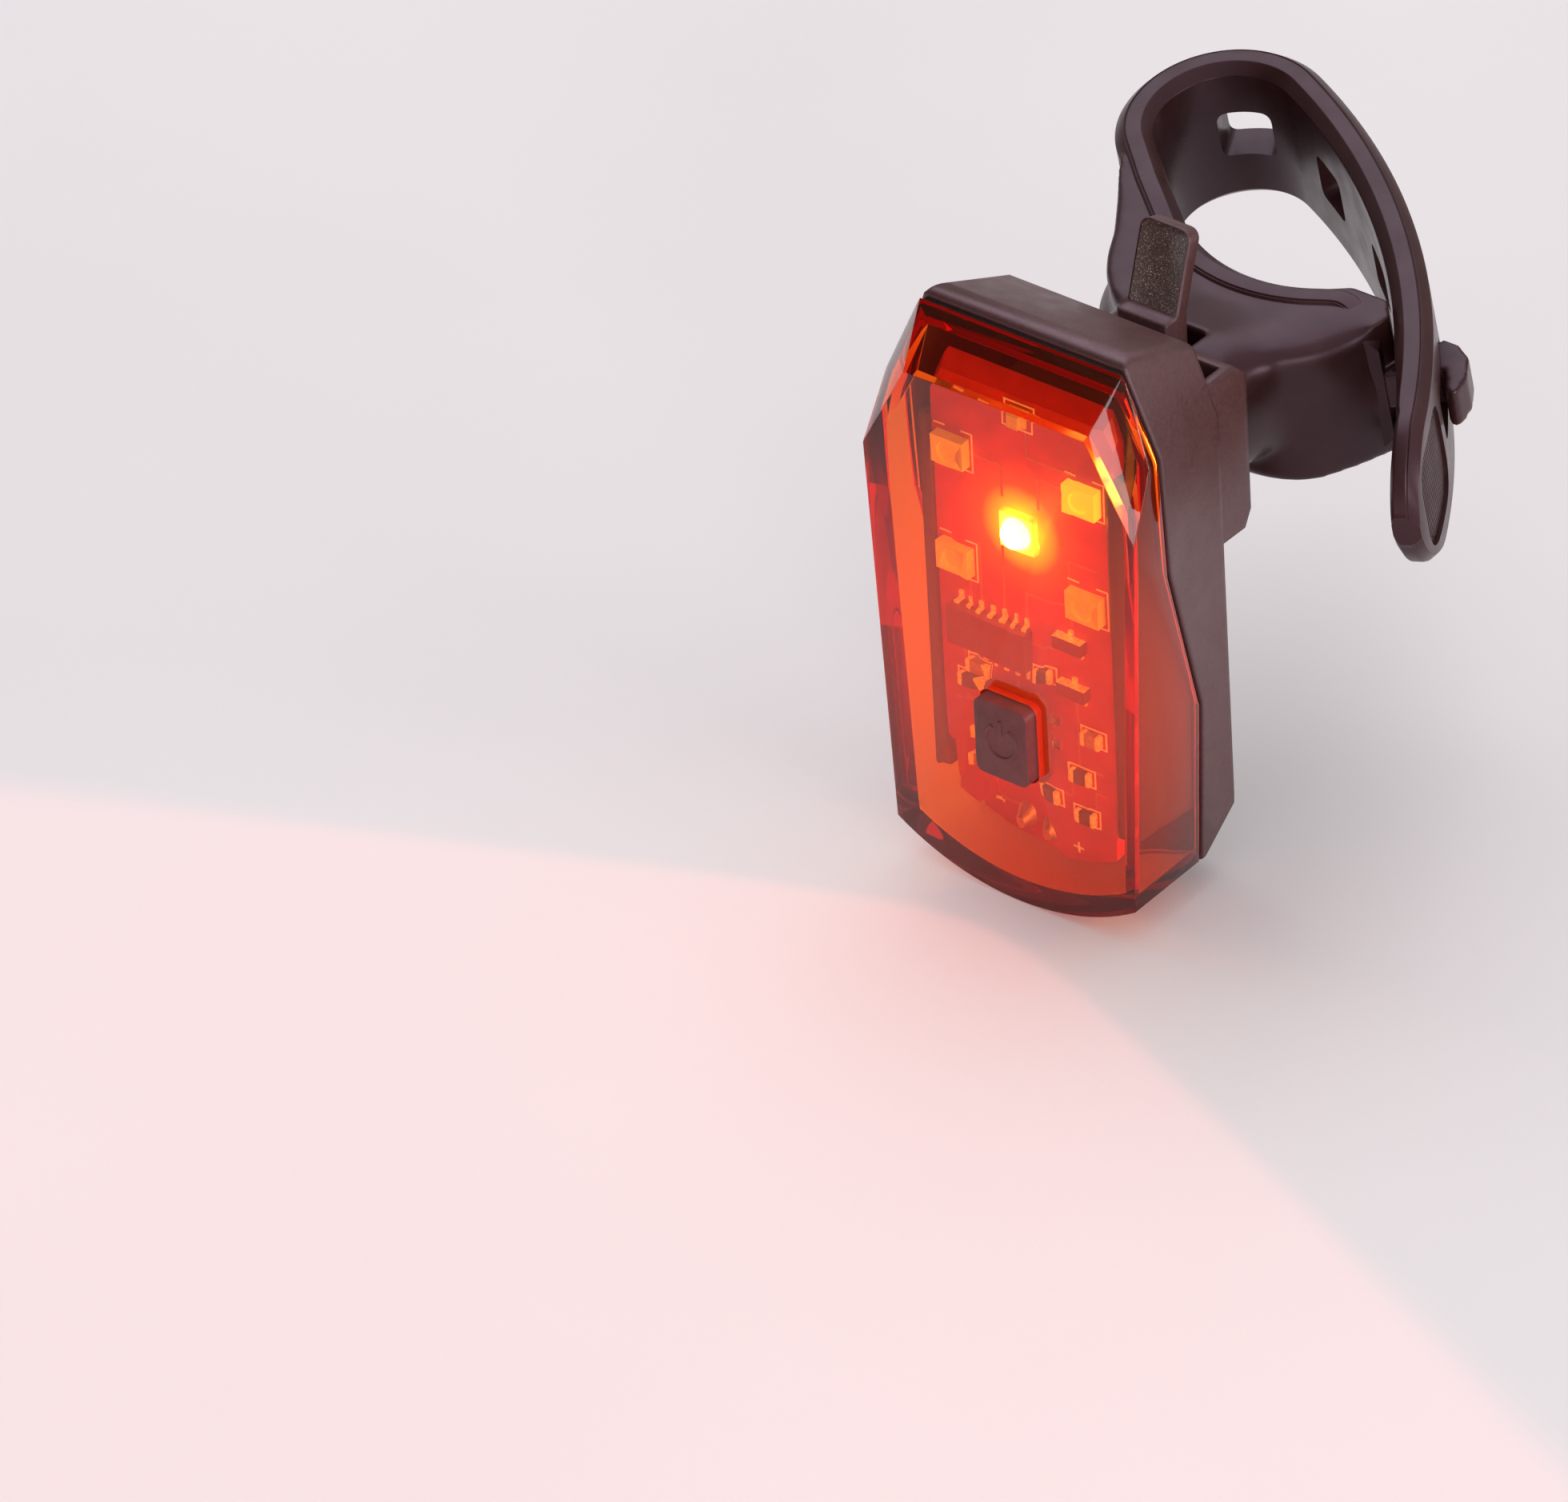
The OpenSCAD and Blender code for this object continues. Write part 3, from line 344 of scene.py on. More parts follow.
    # Painted glow: the other lamps' bodies and windows glow faintly yellow with emission, standing
    # for the main lamp's light on them
    m["led"] = Surface("lamp_yellow", (0.68, 0.56, 0.06), 0.35)
    m["led"].mottle(0.8, (0.62, 0.5, 0.05), (0.74, 0.62, 0.08)).glow((1.0, 0.75, 0.03), 0.16)
    m["led_window"] = Surface("lamp_window", (0.82, 0.72, 0.1), 0.25)
    m["led_window"].mottle(0.5, (0.76, 0.66, 0.08), (0.88, 0.78, 0.13)).glow((1.0, 0.8, 0.05), 0.26)
    m["led_bright"] = Surface("lamp_glowing", (0.95, 0.8, 0.2), 0.35)
    m["led_bright"].mottle(0.8, (0.9, 0.72, 0.15), (1.0, 0.85, 0.25)).glow((1.0, 0.85, 0.05), 1.4)
    m["led_main"] = Surface("lamp_lit", (1.0, 0.9, 0.6), 0.35)
    m["led_main"].mottle(0.8, (0.95, 0.85, 0.5), (1.0, 0.95, 0.7))
    m["led_main"].spill(lamp(0, 3, 37.5), 2.6, 40.0, (
        (0.48, (1.0, 0.9, 0.6)), (0.62, (0.4, 0.24, 0.01)),
        (0.8, (0.12, 0.07, 0.002)), (1.0, (0.05, 0.024, 0.0)),
    ))
    m["cell"] = Surface("cell_wrap", (0.55, 0.56, 0.58), 0.3, Metallic=0.6)
    m["cell"].mottle(5.0, (0.5, 0.51, 0.53), (0.62, 0.63, 0.65)).grain(4.0, 0.05, 2.0)
    m["foam"] = Surface("foam_pad", (0.08, 0.08, 0.085), 0.9)
    m["foam"].mottle(0.4, (0.05, 0.05, 0.055), (0.11, 0.11, 0.115)).grain(0.3, 0.08)
    m["lead_red"] = Surface("lead_red", (0.5, 0.03, 0.02), 0.4)
    m["lead_red"].mottle(1.0, (0.45, 0.025, 0.018), (0.56, 0.04, 0.03))
    m["lead_black"] = Surface("lead_black", (0.02, 0.02, 0.02), 0.4)
    m["lead_black"].mottle(1.0, (0.015, 0.015, 0.015), (0.03, 0.03, 0.03))
    return {key: surface.material for key, surface in m.items()}


# Meshes

def add_mesh(name, mesh, material):
    piece = bpy.data.objects.new(name, mesh)
    scene.collection.objects.link(piece)
    mesh.materials.clear()
    mesh.materials.append(material)
    return piece


def smooth(piece, degrees=32):
    piece.data.shade_smooth()
    piece.data.set_sharp_from_angle(angle=math.radians(degrees))


def settle(piece):
    """Puts the modifiers' result into the mesh."""
    bpy.context.view_layer.update()
    shown = piece.evaluated_get(bpy.context.evaluated_depsgraph_get())
    mesh = bpy.data.meshes.new_from_object(shown)
    piece.modifiers.clear()
    piece.data = mesh


def copy_of(node, material, name):
    """A clean copy of a solid's mesh, with one polygon to each flat face."""
    work = bmesh.new()
    work.from_mesh(nodes[node].data)
    bmesh.ops.remove_doubles(work, verts=work.verts, dist=1e-6)
    bmesh.ops.dissolve_limit(
        work, angle_limit=math.radians(0.6), verts=work.verts, edges=work.edges,
    )
    bmesh.ops.recalc_face_normals(work, faces=work.faces)
    mesh = bpy.data.meshes.new(name)
    work.to_mesh(mesh)
    work.free()
    return add_mesh(name, mesh, material)


# Share of the room at a corner that a rounding takes up
ROOM_SHARE = 0.42


def room_at(corner):
    """Widest rounding that a corner of a face takes before its two edges run into each other."""
    sides = min(corner.edge.calc_length(), corner.link_loop_prev.edge.calc_length())
    return sides * math.tan(min(corner.calc_angle(), math.pi / 2) / 2)


def even_along(work, weight, degrees=15):
    """Gives edges that run on into each other the same rounding, the smaller one or none."""
    pairs = []
    for vert in work.verts:
        met = [(e, (e.other_vert(vert).co - vert.co).normalized()) for e in vert.link_edges]
        for i, (one, way) in enumerate(met):
            for other, other_way in met[i + 1:]:
                if way.dot(other_way) < -math.cos(math.radians(degrees)):
                    pairs.append((one, other))
    uneven = True
    while uneven:
        uneven = False
        for one, other in pairs:
            if one[weight] != other[weight]:
                one[weight] = other[weight] = min(one[weight], other[weight])
                uneven = True


def round_edges(piece, largest, chosen, least_room=0.8, degrees=12):
    """Rounds the outer edges between chosen corners, as far as the edges beside them leave room."""
    work = bmesh.new()
    work.from_mesh(piece.data)
    weight = work.edges.layers.float.new("bevel_weight_edge")
    for edge in work.edges:
        if not edge.is_convex or edge.calc_face_angle(0) < math.radians(degrees):
            continue
        if not all(chosen(v.co / MM - Vector(LAMP_AT)) for v in edge.verts):
            continue
        room = min(room_at(c) for v in edge.verts for c in v.link_loops)
        if room > least_room * MM:
            edge[weight] = min(1, ROOM_SHARE * room / (largest * MM))
    even_along(work, weight)
    work.to_mesh(piece.data)
    work.free()
    bevel = piece.modifiers.new("round", "BEVEL")
    bevel.width = largest * MM
    bevel.segments = 4
    bevel.limit_method = "WEIGHT"
    bevel.use_clamp_overlap = False
    settle(piece)


def rounded(node, body, material, radius, segments=3, degrees=25):
    """A solid with its edges rounded, in place of the solid itself."""
    piece = copy_of(node, material, node + "_finish")
    bevel = piece.modifiers.new("round", "BEVEL")
    bevel.width = radius * MM
    bevel.segments = segments
    bevel.limit_method = "ANGLE"
    bevel.angle_limit = math.radians(degrees)
    bevel.use_clamp_overlap = True
    settle(piece)
    smooth(piece)
    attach(piece, body)
    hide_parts(node)
    return piece


# The housing's shell, from the lens front's lowest point: back face, where the roof begins, and the
# nearest that the long rear edges come to the lens and to the middle
SHELL_BACK = 15.4
ROOF_Z = 54
REAR_EDGE_Y = 13.8
REAR_EDGE_X = 9.9


def on_shell(at):
    """Whether a corner is on the roof or on a rear edge of the shell, clear of the clip block."""
    rear_edge = at.y > REAR_EDGE_Y and abs(at.x) > REAR_EDGE_X
    return at.y < SHELL_BACK and (at.z > ROOF_Z or rear_edge)


def add_housing(material):
    """Housing with the shell's outer edges rounded."""
    piece = copy_of("rear_housing", material, "rear_housing_finish")
    round_edges(piece, 0.9, on_shell)
    smooth(piece, 40)
    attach(piece, "lamp")
    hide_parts("rear_housing")


def add_lever(plain, textured):
    """Release lever: thumb tab with round upper corners and a slightly sunk, textured face."""
    corner_r, corner_h = 1.0, 1.2
    piece = copy_of("release_lever", plain, "release_lever_finish")
    piece.data.materials.append(textured)
    work = bmesh.new()
    work.from_mesh(piece.data)
    top = max(v.co.z for v in work.verts)
    corners = [
        e for e in work.edges
        if abs(e.verts[0].co.x - e.verts[1].co.x) < 1e-6
        and min(v.co.z for v in e.verts) > top - corner_h * MM
    ]
    bmesh.ops.bevel(
        work, geom=corners, offset=corner_r * MM, segments=5, profile=0.5, affect="EDGES",
    )
    fronts = [f for f in work.faces if f.normal.y < -0.5 and f.normal.z > 0]
    face = max(fronts, key=lambda f: f.calc_area())
    bmesh.ops.inset_region(work, faces=[face], thickness=0.06 * MM, depth=0)
    bmesh.ops.inset_region(work, faces=[face], thickness=0.08 * MM, depth=-0.08 * MM)
    face.material_index = 1
    work.to_mesh(piece.data)
    work.free()
    round_edges(piece, 0.22, lambda at: True, 0.0, 25)
    smooth(piece, 40)
    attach(piece, "latch")
    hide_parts("release_lever")


def mark_rim(piece, node, material, reach=0.12):
    """Gives the faces that lie within reach of a node, and face it, a finish of their own."""
    mesh = nodes[node].data
    near = BVHTree.FromPolygons([v.co for v in mesh.vertices], [p.vertices for p in mesh.polygons])
    piece.data.materials.append(material)
    for face in piece.data.polygons:
        hit = near.find_nearest(face.center, reach * MM)
        if hit[0] is not None and abs(hit[1].dot(face.normal)) > 0.95:
            face.material_index = len(piece.data.materials) - 1


def two_tone(node, body, material, second, chosen):
    """A solid in two finishes, the second on the faces that are chosen by middle and normal."""
    piece = copy_of(node, material, node + "_finish")
    piece.data.materials.append(second)
    for face in piece.data.polygons:
        if chosen(face.center / MM - Vector(LAMP_AT), face.normal):
            face.material_index = 1
    smooth(piece)
    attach(piece, body)
    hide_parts(node)


def dress(node, material):
    """A new finish on a solid that keeps its own mesh."""
    for slot in nodes[node].material_slots:
        slot.material = material


def cut(piece, cutter):
    """Takes the cutter's space out of the piece."""
    cutting = piece.modifiers.new("cut", "BOOLEAN")
    cutting.object = cutter
    cutting.operation = "DIFFERENCE"
    cutting.solver = "EXACT"
    settle(piece)
    bpy.data.objects.remove(cutter)


def fillet(corners, radius, steps=3):
    """A closed outline with each corner rounded."""
    points = []
    for i, corner in enumerate(corners):
        before, here = Vector(corners[i - 1]), Vector(corner)
        after = Vector(corners[(i + 1) % len(corners)])
        back, on = (before - here).normalized(), (after - here).normalized()
        half = back.angle(on) / 2
        longest = min((before - here).length, (after - here).length) / 2.2
        reach = min(radius / math.tan(half), longest)
        start, end = here + back * reach, here + on * reach
        for step in range(steps + 1):
            t = step / steps
            points.append(start * (1 - t) ** 2 + here * 2 * t * (1 - t) + end * t ** 2)
    return points


def skin(name, rings, material):
    """A closed mesh through rings of points."""
    work = bmesh.new()
    made = [[work.verts.new(p) for p in ring] for ring in rings]
    for a, b in zip(made, made[1:]):
        for i in range(len(a)):
            j = (i + 1) % len(a)
            work.faces.new((a[i], a[j], b[j], b[i]))
    work.faces.new(list(reversed(made[0])))
    work.faces.new(made[-1])
    bmesh.ops.recalc_face_normals(work, faces=work.faces)
    mesh = bpy.data.meshes.new(name)
    work.to_mesh(mesh)
    work.free()
    return add_mesh(name, mesh, material)


# Strap and saddle

def strap_outline(half_w, half_t, thin):
    """Section of the strap: out from its middle line, and up. thin is taken off the inner face."""
    inner = -half_t + thin
    flat = STRAP_FLAT / 2
    flat_in = max(-flat, inner + 0.4)
    shoulder = half_w - STRAP_BEVEL
    groove = 0.09
    top = [
        (half_t, shoulder), (flat + groove, half_w - groove * 0.6), (flat, half_w - 2.2 * groove),
        (flat - groove, half_w), (flat_in, half_w), (inner, shoulder),
    ]
    corners = top + [(u, -v) for u, v in reversed(top)]
    return fillet(corners, 0.22)


def rounded_way(points, steps=4):
    """A smooth path from the second point on, through all the rest."""
    path = []
    ends = points + [points[-1] * 2 - points[-2]]
    for a, b, c, d in zip(ends, ends[1:], ends[2:], ends[3:]):
        for i in range(1, steps + 1):
            t = i / steps
            path.append(
                b + (c - a) * (t / 2) + (a * 2 - b * 5 + c * 4 - d) * (t ** 2 / 2)
                + (b * 3 - a - c * 3 + d) * (t ** 3 / 2)
            )
    return path


def seat_stations():
    """Rows like those of strap_stations for the seat's rim, from the strap's root to the horn."""
    middle = POST_R + STRAP_T / 2
    steps = 30
    path = [BEND_C + polar(BEND_R, ROOT_ANGLE) + ROOT_WAY * ROOT_L / 2]
    for i in range(steps + 1):
        angle = ROOT_ANGLE + (HORN_ANGLE - ROOT_ANGLE) * i / steps
        path.append(Vector((0, POST_R)) + polar(middle, angle))
    path += rounded_way([path[-2], path[-1], *(Vector(p) for p in HORN_WAY)])
    rows = []
    for i, here in enumerate(path):
        way = (path[min(i + 1, len(path) - 1)] - path[max(i - 1, 0)]).normalized()
        sunk = 1.6 * max(0, (i - steps - 3) / (len(path) - steps - 4)) ** 2
        rows.append((here, Vector((way.y, -way.x)), STRAP_W / 2 - sunk, 0.0))
    return rows


def strap_stations():
    """Middle point, outward direction, half width and thinning along the strap."""
    rows = []
    for t in (ROOT_L / 2, ROOT_L / 4):
        out = polar(1, ROOT_ANGLE)
        rows.append((BEND_C + out * BEND_R + ROOT_WAY * t, out, STRAP_W / 2, 0.0))
    steps = 56
    for i in range(steps + 1):
        angle = ROOT_ANGLE + (RUN_ANGLE - ROOT_ANGLE) * i / steps
        out = polar(1, angle)
        rows.append((BEND_C + out * BEND_R, out, STRAP_W / 2, 0.0))
    tail_turn = TAIL_R * RUN_DEG
    steps = 44
    for i in range(1, steps + 1):
        angle = RUN_ANGLE + (TAIL_ANGLE - RUN_ANGLE) * i / steps
        out = polar(1, angle)
        thin = TAIL_THIN * min(1, max(0, (HOOK_ANGLE - 5 - angle) / 8))
        rows.append((RUN_C + out * RUN_R, out, STRAP_W / 2, thin))
    steps, tip_share, tip_half = 14, 0.985, 1.6
    for i in range(1, steps + 1):
        along = tip_share * math.sin(math.pi / 2 * i / steps)
        half = min(STRAP_W / 2, TAIL_R * math.sqrt(1 - along ** 2))
        out = polar(1, TAIL_ANGLE - along * tail_turn)
        rows.append((RUN_C + out * RUN_R, out, max(half, tip_half), TAIL_THIN))
    return rows


def hole_cutter(centre, r, angle, length, height, depth, corner=1.0):
    """A block with rounded corners across the strap, at an angle round a centre."""
    out, along = polar(1, angle), polar(1, angle + 90)
    x, y = length / 2, height / 2
    outline = fillet([(-x, -y), (x, -y), (x, y), (-x, y)], corner, 5)
    rings = []
    for reach in depth:
        rings.append([
            loop(*(centre + out * (r + reach) + along * p.x), p.y) for p in outline
        ])
    return skin("cutter", rings, None)


def sweep(name, stations, material):
    """The strap's section carried along a row of stations."""
    rings = []
    for middle, out, half_w, thin in stations:
        outline = strap_outline(half_w, STRAP_T / 2, thin)
        rings.append([loop(*(middle + out * p.x), p.y) for p in outline])
    return skin(name, rings, material)


def add_seat_rim(material):
    """Raised rim along the seat, of the strap's own section."""
    piece = sweep("seat_rim", seat_stations(), material)
    smooth(piece, 40)
    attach(piece, "bracket")


def add_strap(material):
    """Bend and free run in one piece, across the strap's hinge."""
    piece = sweep("strap_finish", strap_stations(), material)
    through = (-STRAP_T, STRAP_T)
    cut(piece, hole_cutter(BEND_C, BEND_R, LAST_HOLE_ANGLE, HOLE_L, HOLE_H, through))
    hook_hole = HOOK_ANGLE + (HOOK_SLACK - HOOK_HOLE_L / 2) * RUN_DEG
    cut(piece, hole_cutter(RUN_C, RUN_R, hook_hole, HOOK_HOLE_L, HOLE_H, through))
    for i in (1, 2):
        angle = HOOK_ANGLE + (i * HOLE_PITCH - HOOK_L / 2) * RUN_DEG
        cut(piece, hole_cutter(RUN_C, RUN_R, angle, HOLE_L, HOLE_H, through))
    panel = (STRAP_T / 2 - PANEL_D, STRAP_T)
    middle = TAIL_ANGLE + PANEL_TURN
    cut(piece, hole_cutter(RUN_C, RUN_R, middle, PANEL_L, PANEL_H, panel, PANEL_CORNER))
    smooth(piece, 40)
    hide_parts("strap")
    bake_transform(piece)


def add_tail_ribs(material):
    """Fine ribs across the recessed panel at the strap's tail."""
    ribs, pitch, sink = 11, 0.42, 0.02
    section = ((-0.14, 0.0), (-0.07, 0.2), (0.07, 0.2), (0.14, 0.0))
    longest, shorter, level = 4.95, 2.6, 4
    work = bmesh.new()
    face = RUN_R + STRAP_T / 2 - (PANEL_D + sink)
    for i in range(-ribs, ribs + 1):
        angle = TAIL_ANGLE + PANEL_TURN + i * pitch * RUN_DEG
        out, along = polar(1, angle), polar(1, angle + 90)
        half = longest - shorter * max(0, (abs(i) - level) / (ribs - level)) ** 2
        ends = []
        for z in (-half, half):
            ends.append([
                work.verts.new(loop(*(RUN_C + out * (face + h) + along * w), z)) for w, h in section
            ])
        a, b = ends
        for j in range(4):
            work.faces.new((a[j], a[(j + 1) % 4], b[(j + 1) % 4], b[j]))
        work.faces.new(list(reversed(a)))
        work.faces.new(b)
    bmesh.ops.recalc_face_normals(work, faces=work.faces)
    mesh = bpy.data.meshes.new("tail_ribs")
    work.to_mesh(mesh)
    work.free()
    piece = add_mesh("tail_ribs", mesh, material)
    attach(piece, "strap_run")


def ease(value, low, high):
    """A smooth step from 0 at low to 1 at high."""
    t = min(1, max(0, (value - low) / (high - low)))
    return t * t * (3 - 2 * t)


def take_strap_off(piece):
    """Cuts the saddle's mesh where the strap's root begins, and closes the cut."""
    work = bmesh.new()
    work.from_mesh(piece.data)
    start = BEND_C + polar(BEND_R, ROOT_ANGLE) + ROOT_WAY * 0.4
    cut_made = bmesh.ops.bisect_plane(
        work, geom=work.verts[:] + work.edges[:] + work.faces[:], plane_co=loop(*start),
        plane_no=loop(*ROOT_WAY).normalized(), clear_inner=True,
    )
    rim = [e for e in cut_made["geom_cut"] if isinstance(e, bmesh.types.BMEdge)]
    bmesh.ops.holes_fill(work, edges=rim)
    bmesh.ops.triangulate(work, faces=work.faces)
    work.to_mesh(piece.data)
    work.free()


def in_loop(v):
    """A vertex in the loop's plane, in millimetres."""
    return Matrix.Rotation(-LOOP_TILT, 3, "X") @ v.co / MM


def soften_saddle(piece):
    """Softens every edge a little, the front and left flank more and the upper right flank most."""
    lever_low, lever_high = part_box("release_lever")
    front = piece.vertex_groups.new(name="front")
    side = piece.vertex_groups.new(name="side")
    for v in piece.data.vertices:
        p = in_loop(v)
        sides = zip(lever_low, v.co, lever_high)
        apart = max(max(low - here, here - high) / MM for low, here, high in sides)
        off_lever = ease(apart, 0.6, 2.4)
        flank = ease(-p.x, 9.0, 11.0) * ease(5.5 - p.y, 0.0, 3.5)
        soft = max(ease(-p.y, 0.0, 3.0), flank) * off_lever
        front.add([v.index], soft, "REPLACE")
        past_rim = math.hypot(p.x, p.y - POST_R) - POST_R - STRAP_T
        from_strap = RUN_R - STRAP_T - (p.xy - RUN_C).length
        clear = ease(past_rim, 0.0, 2.0) * ease(from_strap, 0.0, 2.5)
        swell = clear * ease(p.x, 1.0, 5.0) * ease(p.z, -4.0, 0.0)
        side.add([v.index], swell * off_lever, "REPLACE")
    for iterations, group in ((7, ""), (60, "front"), (600, "side")):
        softer = piece.modifiers.new("soften", "SMOOTH")
        softer.factor = 0.5
        softer.iterations = iterations
        softer.vertex_group = group
    settle(piece)


def tuck_under_rim(piece):
    """Draws the saddle in so that it stays under the seat's rim and the strap's root."""
    under, narrower = 0.7, 0.07
    root_out = polar(1, ROOT_ANGLE)
    for v in piece.data.vertices:
        p = in_loop(v)
        p.z *= 1 - narrower * ease(p.y, -11.0, -4.0)
        seat = math.hypot(p.x, p.y - POST_R)
        if seat < POST_R + under:
            p.x *= (POST_R + under) / seat
            p.y = POST_R + (p.y - POST_R) * (POST_R + under) / seat
        deep = (p.xy - BEND_C).dot(root_out) - BEND_R + STRAP_T / 2
        if abs(deep) < under and 0 < (p.xy - BEND_C).dot(ROOT_WAY) < ROOT_L:
            p.xy += root_out * (under - deep)
        v.co = loop(*p)


def add_saddle(material):
    """Moulded saddle: the solid without its strap, softened and drawn in under the seat's rim."""
    piece = copy_of("saddle", material, "saddle_finish")
    take_strap_off(piece)
    remesh = piece.modifiers.new("remesh", "REMESH")
    remesh.mode = "VOXEL"
    remesh.voxel_size = 0.24 * MM
    settle(piece)
    soften_saddle(piece)
    tuck_under_rim(piece)
    smooth(piece, 60)
    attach(piece, "bracket")
    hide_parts("saddle")


# Board details

# Middles of the parts from the lens front's lowest point, x and z; length, width and height of a
# chip part; and the length of its tinned end and what that stands proud
RESISTOR_AT = ((-6.7, 19.4), (2.2, 23.2), (5.8, 13.9), (2.4, 10.6), (6.2, 9.8), (-6.4, 13.6))
CAPACITOR_AT = ((-5.6, 21.4), (-6.4, 10.8), (7.2, 18.4))
LED_AT = ((7.2, 43.4), (-7.2, 43.4), (7.2, 32.3), (-7.2, 32.3))
BOARD_Y = 4.0
CHIP_PART = (2.0, 1.25, 0.6)
END_L = 0.45
END_PROUD = 0.03


def add_blocks(name, blocks, material):
    """Flat blocks on the board: x and z from, x and z to, height over the board, rounding."""
    work = bmesh.new()
    for x0, z0, x1, z1, height, edge in blocks:
        made = bmesh.ops.create_cube(work, size=1)["verts"]
        for v in made:
            v.co = lamp(
                x0 if v.co.x < 0 else x1, BOARD_Y + 0.01 if v.co.y > 0 else BOARD_Y - height,
                z0 if v.co.z < 0 else z1,
            )
        if edge:
            edges = {e for v in made for e in v.link_edges}
            bmesh.ops.bevel(
                work, geom=list(edges), offset=edge * MM, segments=2, profile=0.5, affect="EDGES",
            )
    bmesh.ops.recalc_face_normals(work, faces=work.faces)
    mesh = bpy.data.meshes.new(name)
    work.to_mesh(mesh)
    work.free()
    piece = add_mesh(name, mesh, material)
    smooth(piece, 40)
    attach(piece, "lamp")


def add_chip_ends(material):
    """Tinned ends of the chip resistors and capacitors."""
    half_l, half_w = (size / 2 + END_PROUD for size in CHIP_PART[:2])
    blocks = []
    for places, height in ((RESISTOR_AT, CHIP_PART[2]), (CAPACITOR_AT, CHIP_PART[2] * 1.4)):
        for x, z in places:
            for x0, x1 in ((x - half_l, x - half_l + END_L), (x + half_l - END_L, x + half_l)):
                blocks.append((x0, z - half_w, x1, z + half_w, height + END_PROUD, 0.08))
    add_blocks("chip_ends", blocks, material)


def add_traces(material):
    """Copper tracks under the board's lacquer, in bends of two straight runs each."""
    half = 0.14
    blocks = []
    runs = (
        ((-6.0, 28.4), (-8.3, 30.6)), ((-4.8, 28.4), (-4.8, 34.5)), ((-2.2, 28.4), (-1.2, 35.5)),
        ((0.3, 28.4), (5.2, 31.2)), ((-7.3, 22.7), (-8.4, 17.0)), ((-1.0, 22.7), (1.1, 20.4)),
        ((0.3, 22.7), (3.4, 26.2)), ((5.3, 29.2), (8.3, 36.0)), ((5.5, 21.4), (8.2, 14.8)),
        ((4.8, 13.9), (3.4, 11.4)), ((-5.4, 13.6), (-1.6, 6.4)), ((7.2, 9.8), (8.4, 12.6)),
        ((-2.0, 40.2), (-5.4, 43.4)), ((2.0, 40.2), (5.4, 43.4)), ((0.9, 48.9), (6.4, 45.2)),
    )
    for (x0, z0), (x1, z1) in runs:
        blocks.append((x0 - half, min(z0, z1), x0 + half, max(z0, z1), 0.015, 0))
        blocks.append((min(x0, x1), z1 - half, max(x0, x1), z1 + half, 0.016, 0))
    add_blocks("traces", blocks, material)


def add_board_print(material):
    """Outlines of the components and the polarity marks, printed on the board."""
    led_h, mark_x = 1.95, 5.0
    bars = []

    def bar(x0, z0, x1, z1):
        bars.append((x0, z0, x1, z1, 0.03, 0))

    def frame_of(x, z, w, h, line=0.16):
        bar(x - w / 2, z - h / 2, x - w / 2 + line, z + h / 2)
        bar(x + w / 2 - line, z - h / 2, x + w / 2, z + h / 2)
        bar(x - w / 2, z - h / 2, x + w / 2, z - h / 2 + line)
        bar(x - w / 2, z + h / 2 - line, x + w / 2, z + h / 2)

    for x, z in RESISTOR_AT + CAPACITOR_AT:
        frame_of(x, z, 2.9, 1.9)
    for x, z in LED_AT:
        for edge in (z - led_h, z + led_h):
            bar(x - 2.1, edge - 0.08, x - 0.9, edge + 0.08)
            bar(x + 0.9, edge - 0.08, x + 2.1, edge + 0.08)
        bar(x + 2.0, z - led_h, x + 2.16, z + led_h)
    frame_of(0, 48.9, 3.4, 2.2)
    for x in (-mark_x, mark_x):
        bar(x - 0.55, 5.9, x + 0.55, 6.1)
    bar(mark_x - 0.1, 5.45, mark_x + 0.1, 6.55)
    add_blocks("board_print", bars, material)


# Stage

# Size of a lamp of the light itself, and half the floor's side, in metres
LED_SIZE = 0.001
FLOOR_HALF = 3


def hang(name, data, place, target):
    """A lamp at a place, turned to a target."""
    light = bpy.data.objects.new(name, data)
    light.location = place
    light.rotation_mode = "QUATERNION"
    light.rotation_quaternion = (Vector(target) - Vector(place)).to_track_quat("-Z", "Y")
    scene.collection.objects.link(light)
    return light


def add_area(name, place, target, size, power, color=(1, 1, 1)):
    """A soft box, size in metres and power in watts."""
    data = bpy.data.lights.new(name, "AREA")
    data.shape = "RECTANGLE"
    data.size, data.size_y = size
    data.energy = power
    data.color = color
    hang(name, data, place, target)


def add_spot(name, place, target, degrees, color, soften):
    """A beam from a small lamp; even_out gives its strength."""
    data = bpy.data.lights.new(name, "SPOT")
    data.spot_size = math.radians(degrees)
    data.spot_blend = soften
    data.energy = 1.0
    data.color = color
    data.shadow_soft_size = LED_SIZE
    return hang(name, data, place, target)


def even_out(light, strength):
    """Lets a beam stay as strong along the floor as it is near the lamp."""
    light.data.use_nodes = True
    tree = light.data.node_tree
    fall = tree.nodes.new("ShaderNodeLightFalloff")
    fall.inputs["Strength"].default_value = strength
    path = tree.nodes.new("ShaderNodeLightPath")
    product = tree.nodes.new("ShaderNodeMath")
    product.operation = "MULTIPLY"
    tree.links.new(fall.outputs["Constant"], product.inputs[0])
    tree.links.new(path.outputs["Ray Length"], product.inputs[1])
    tree.links.new(product.outputs[0], tree.nodes["Emission"].inputs["Strength"])


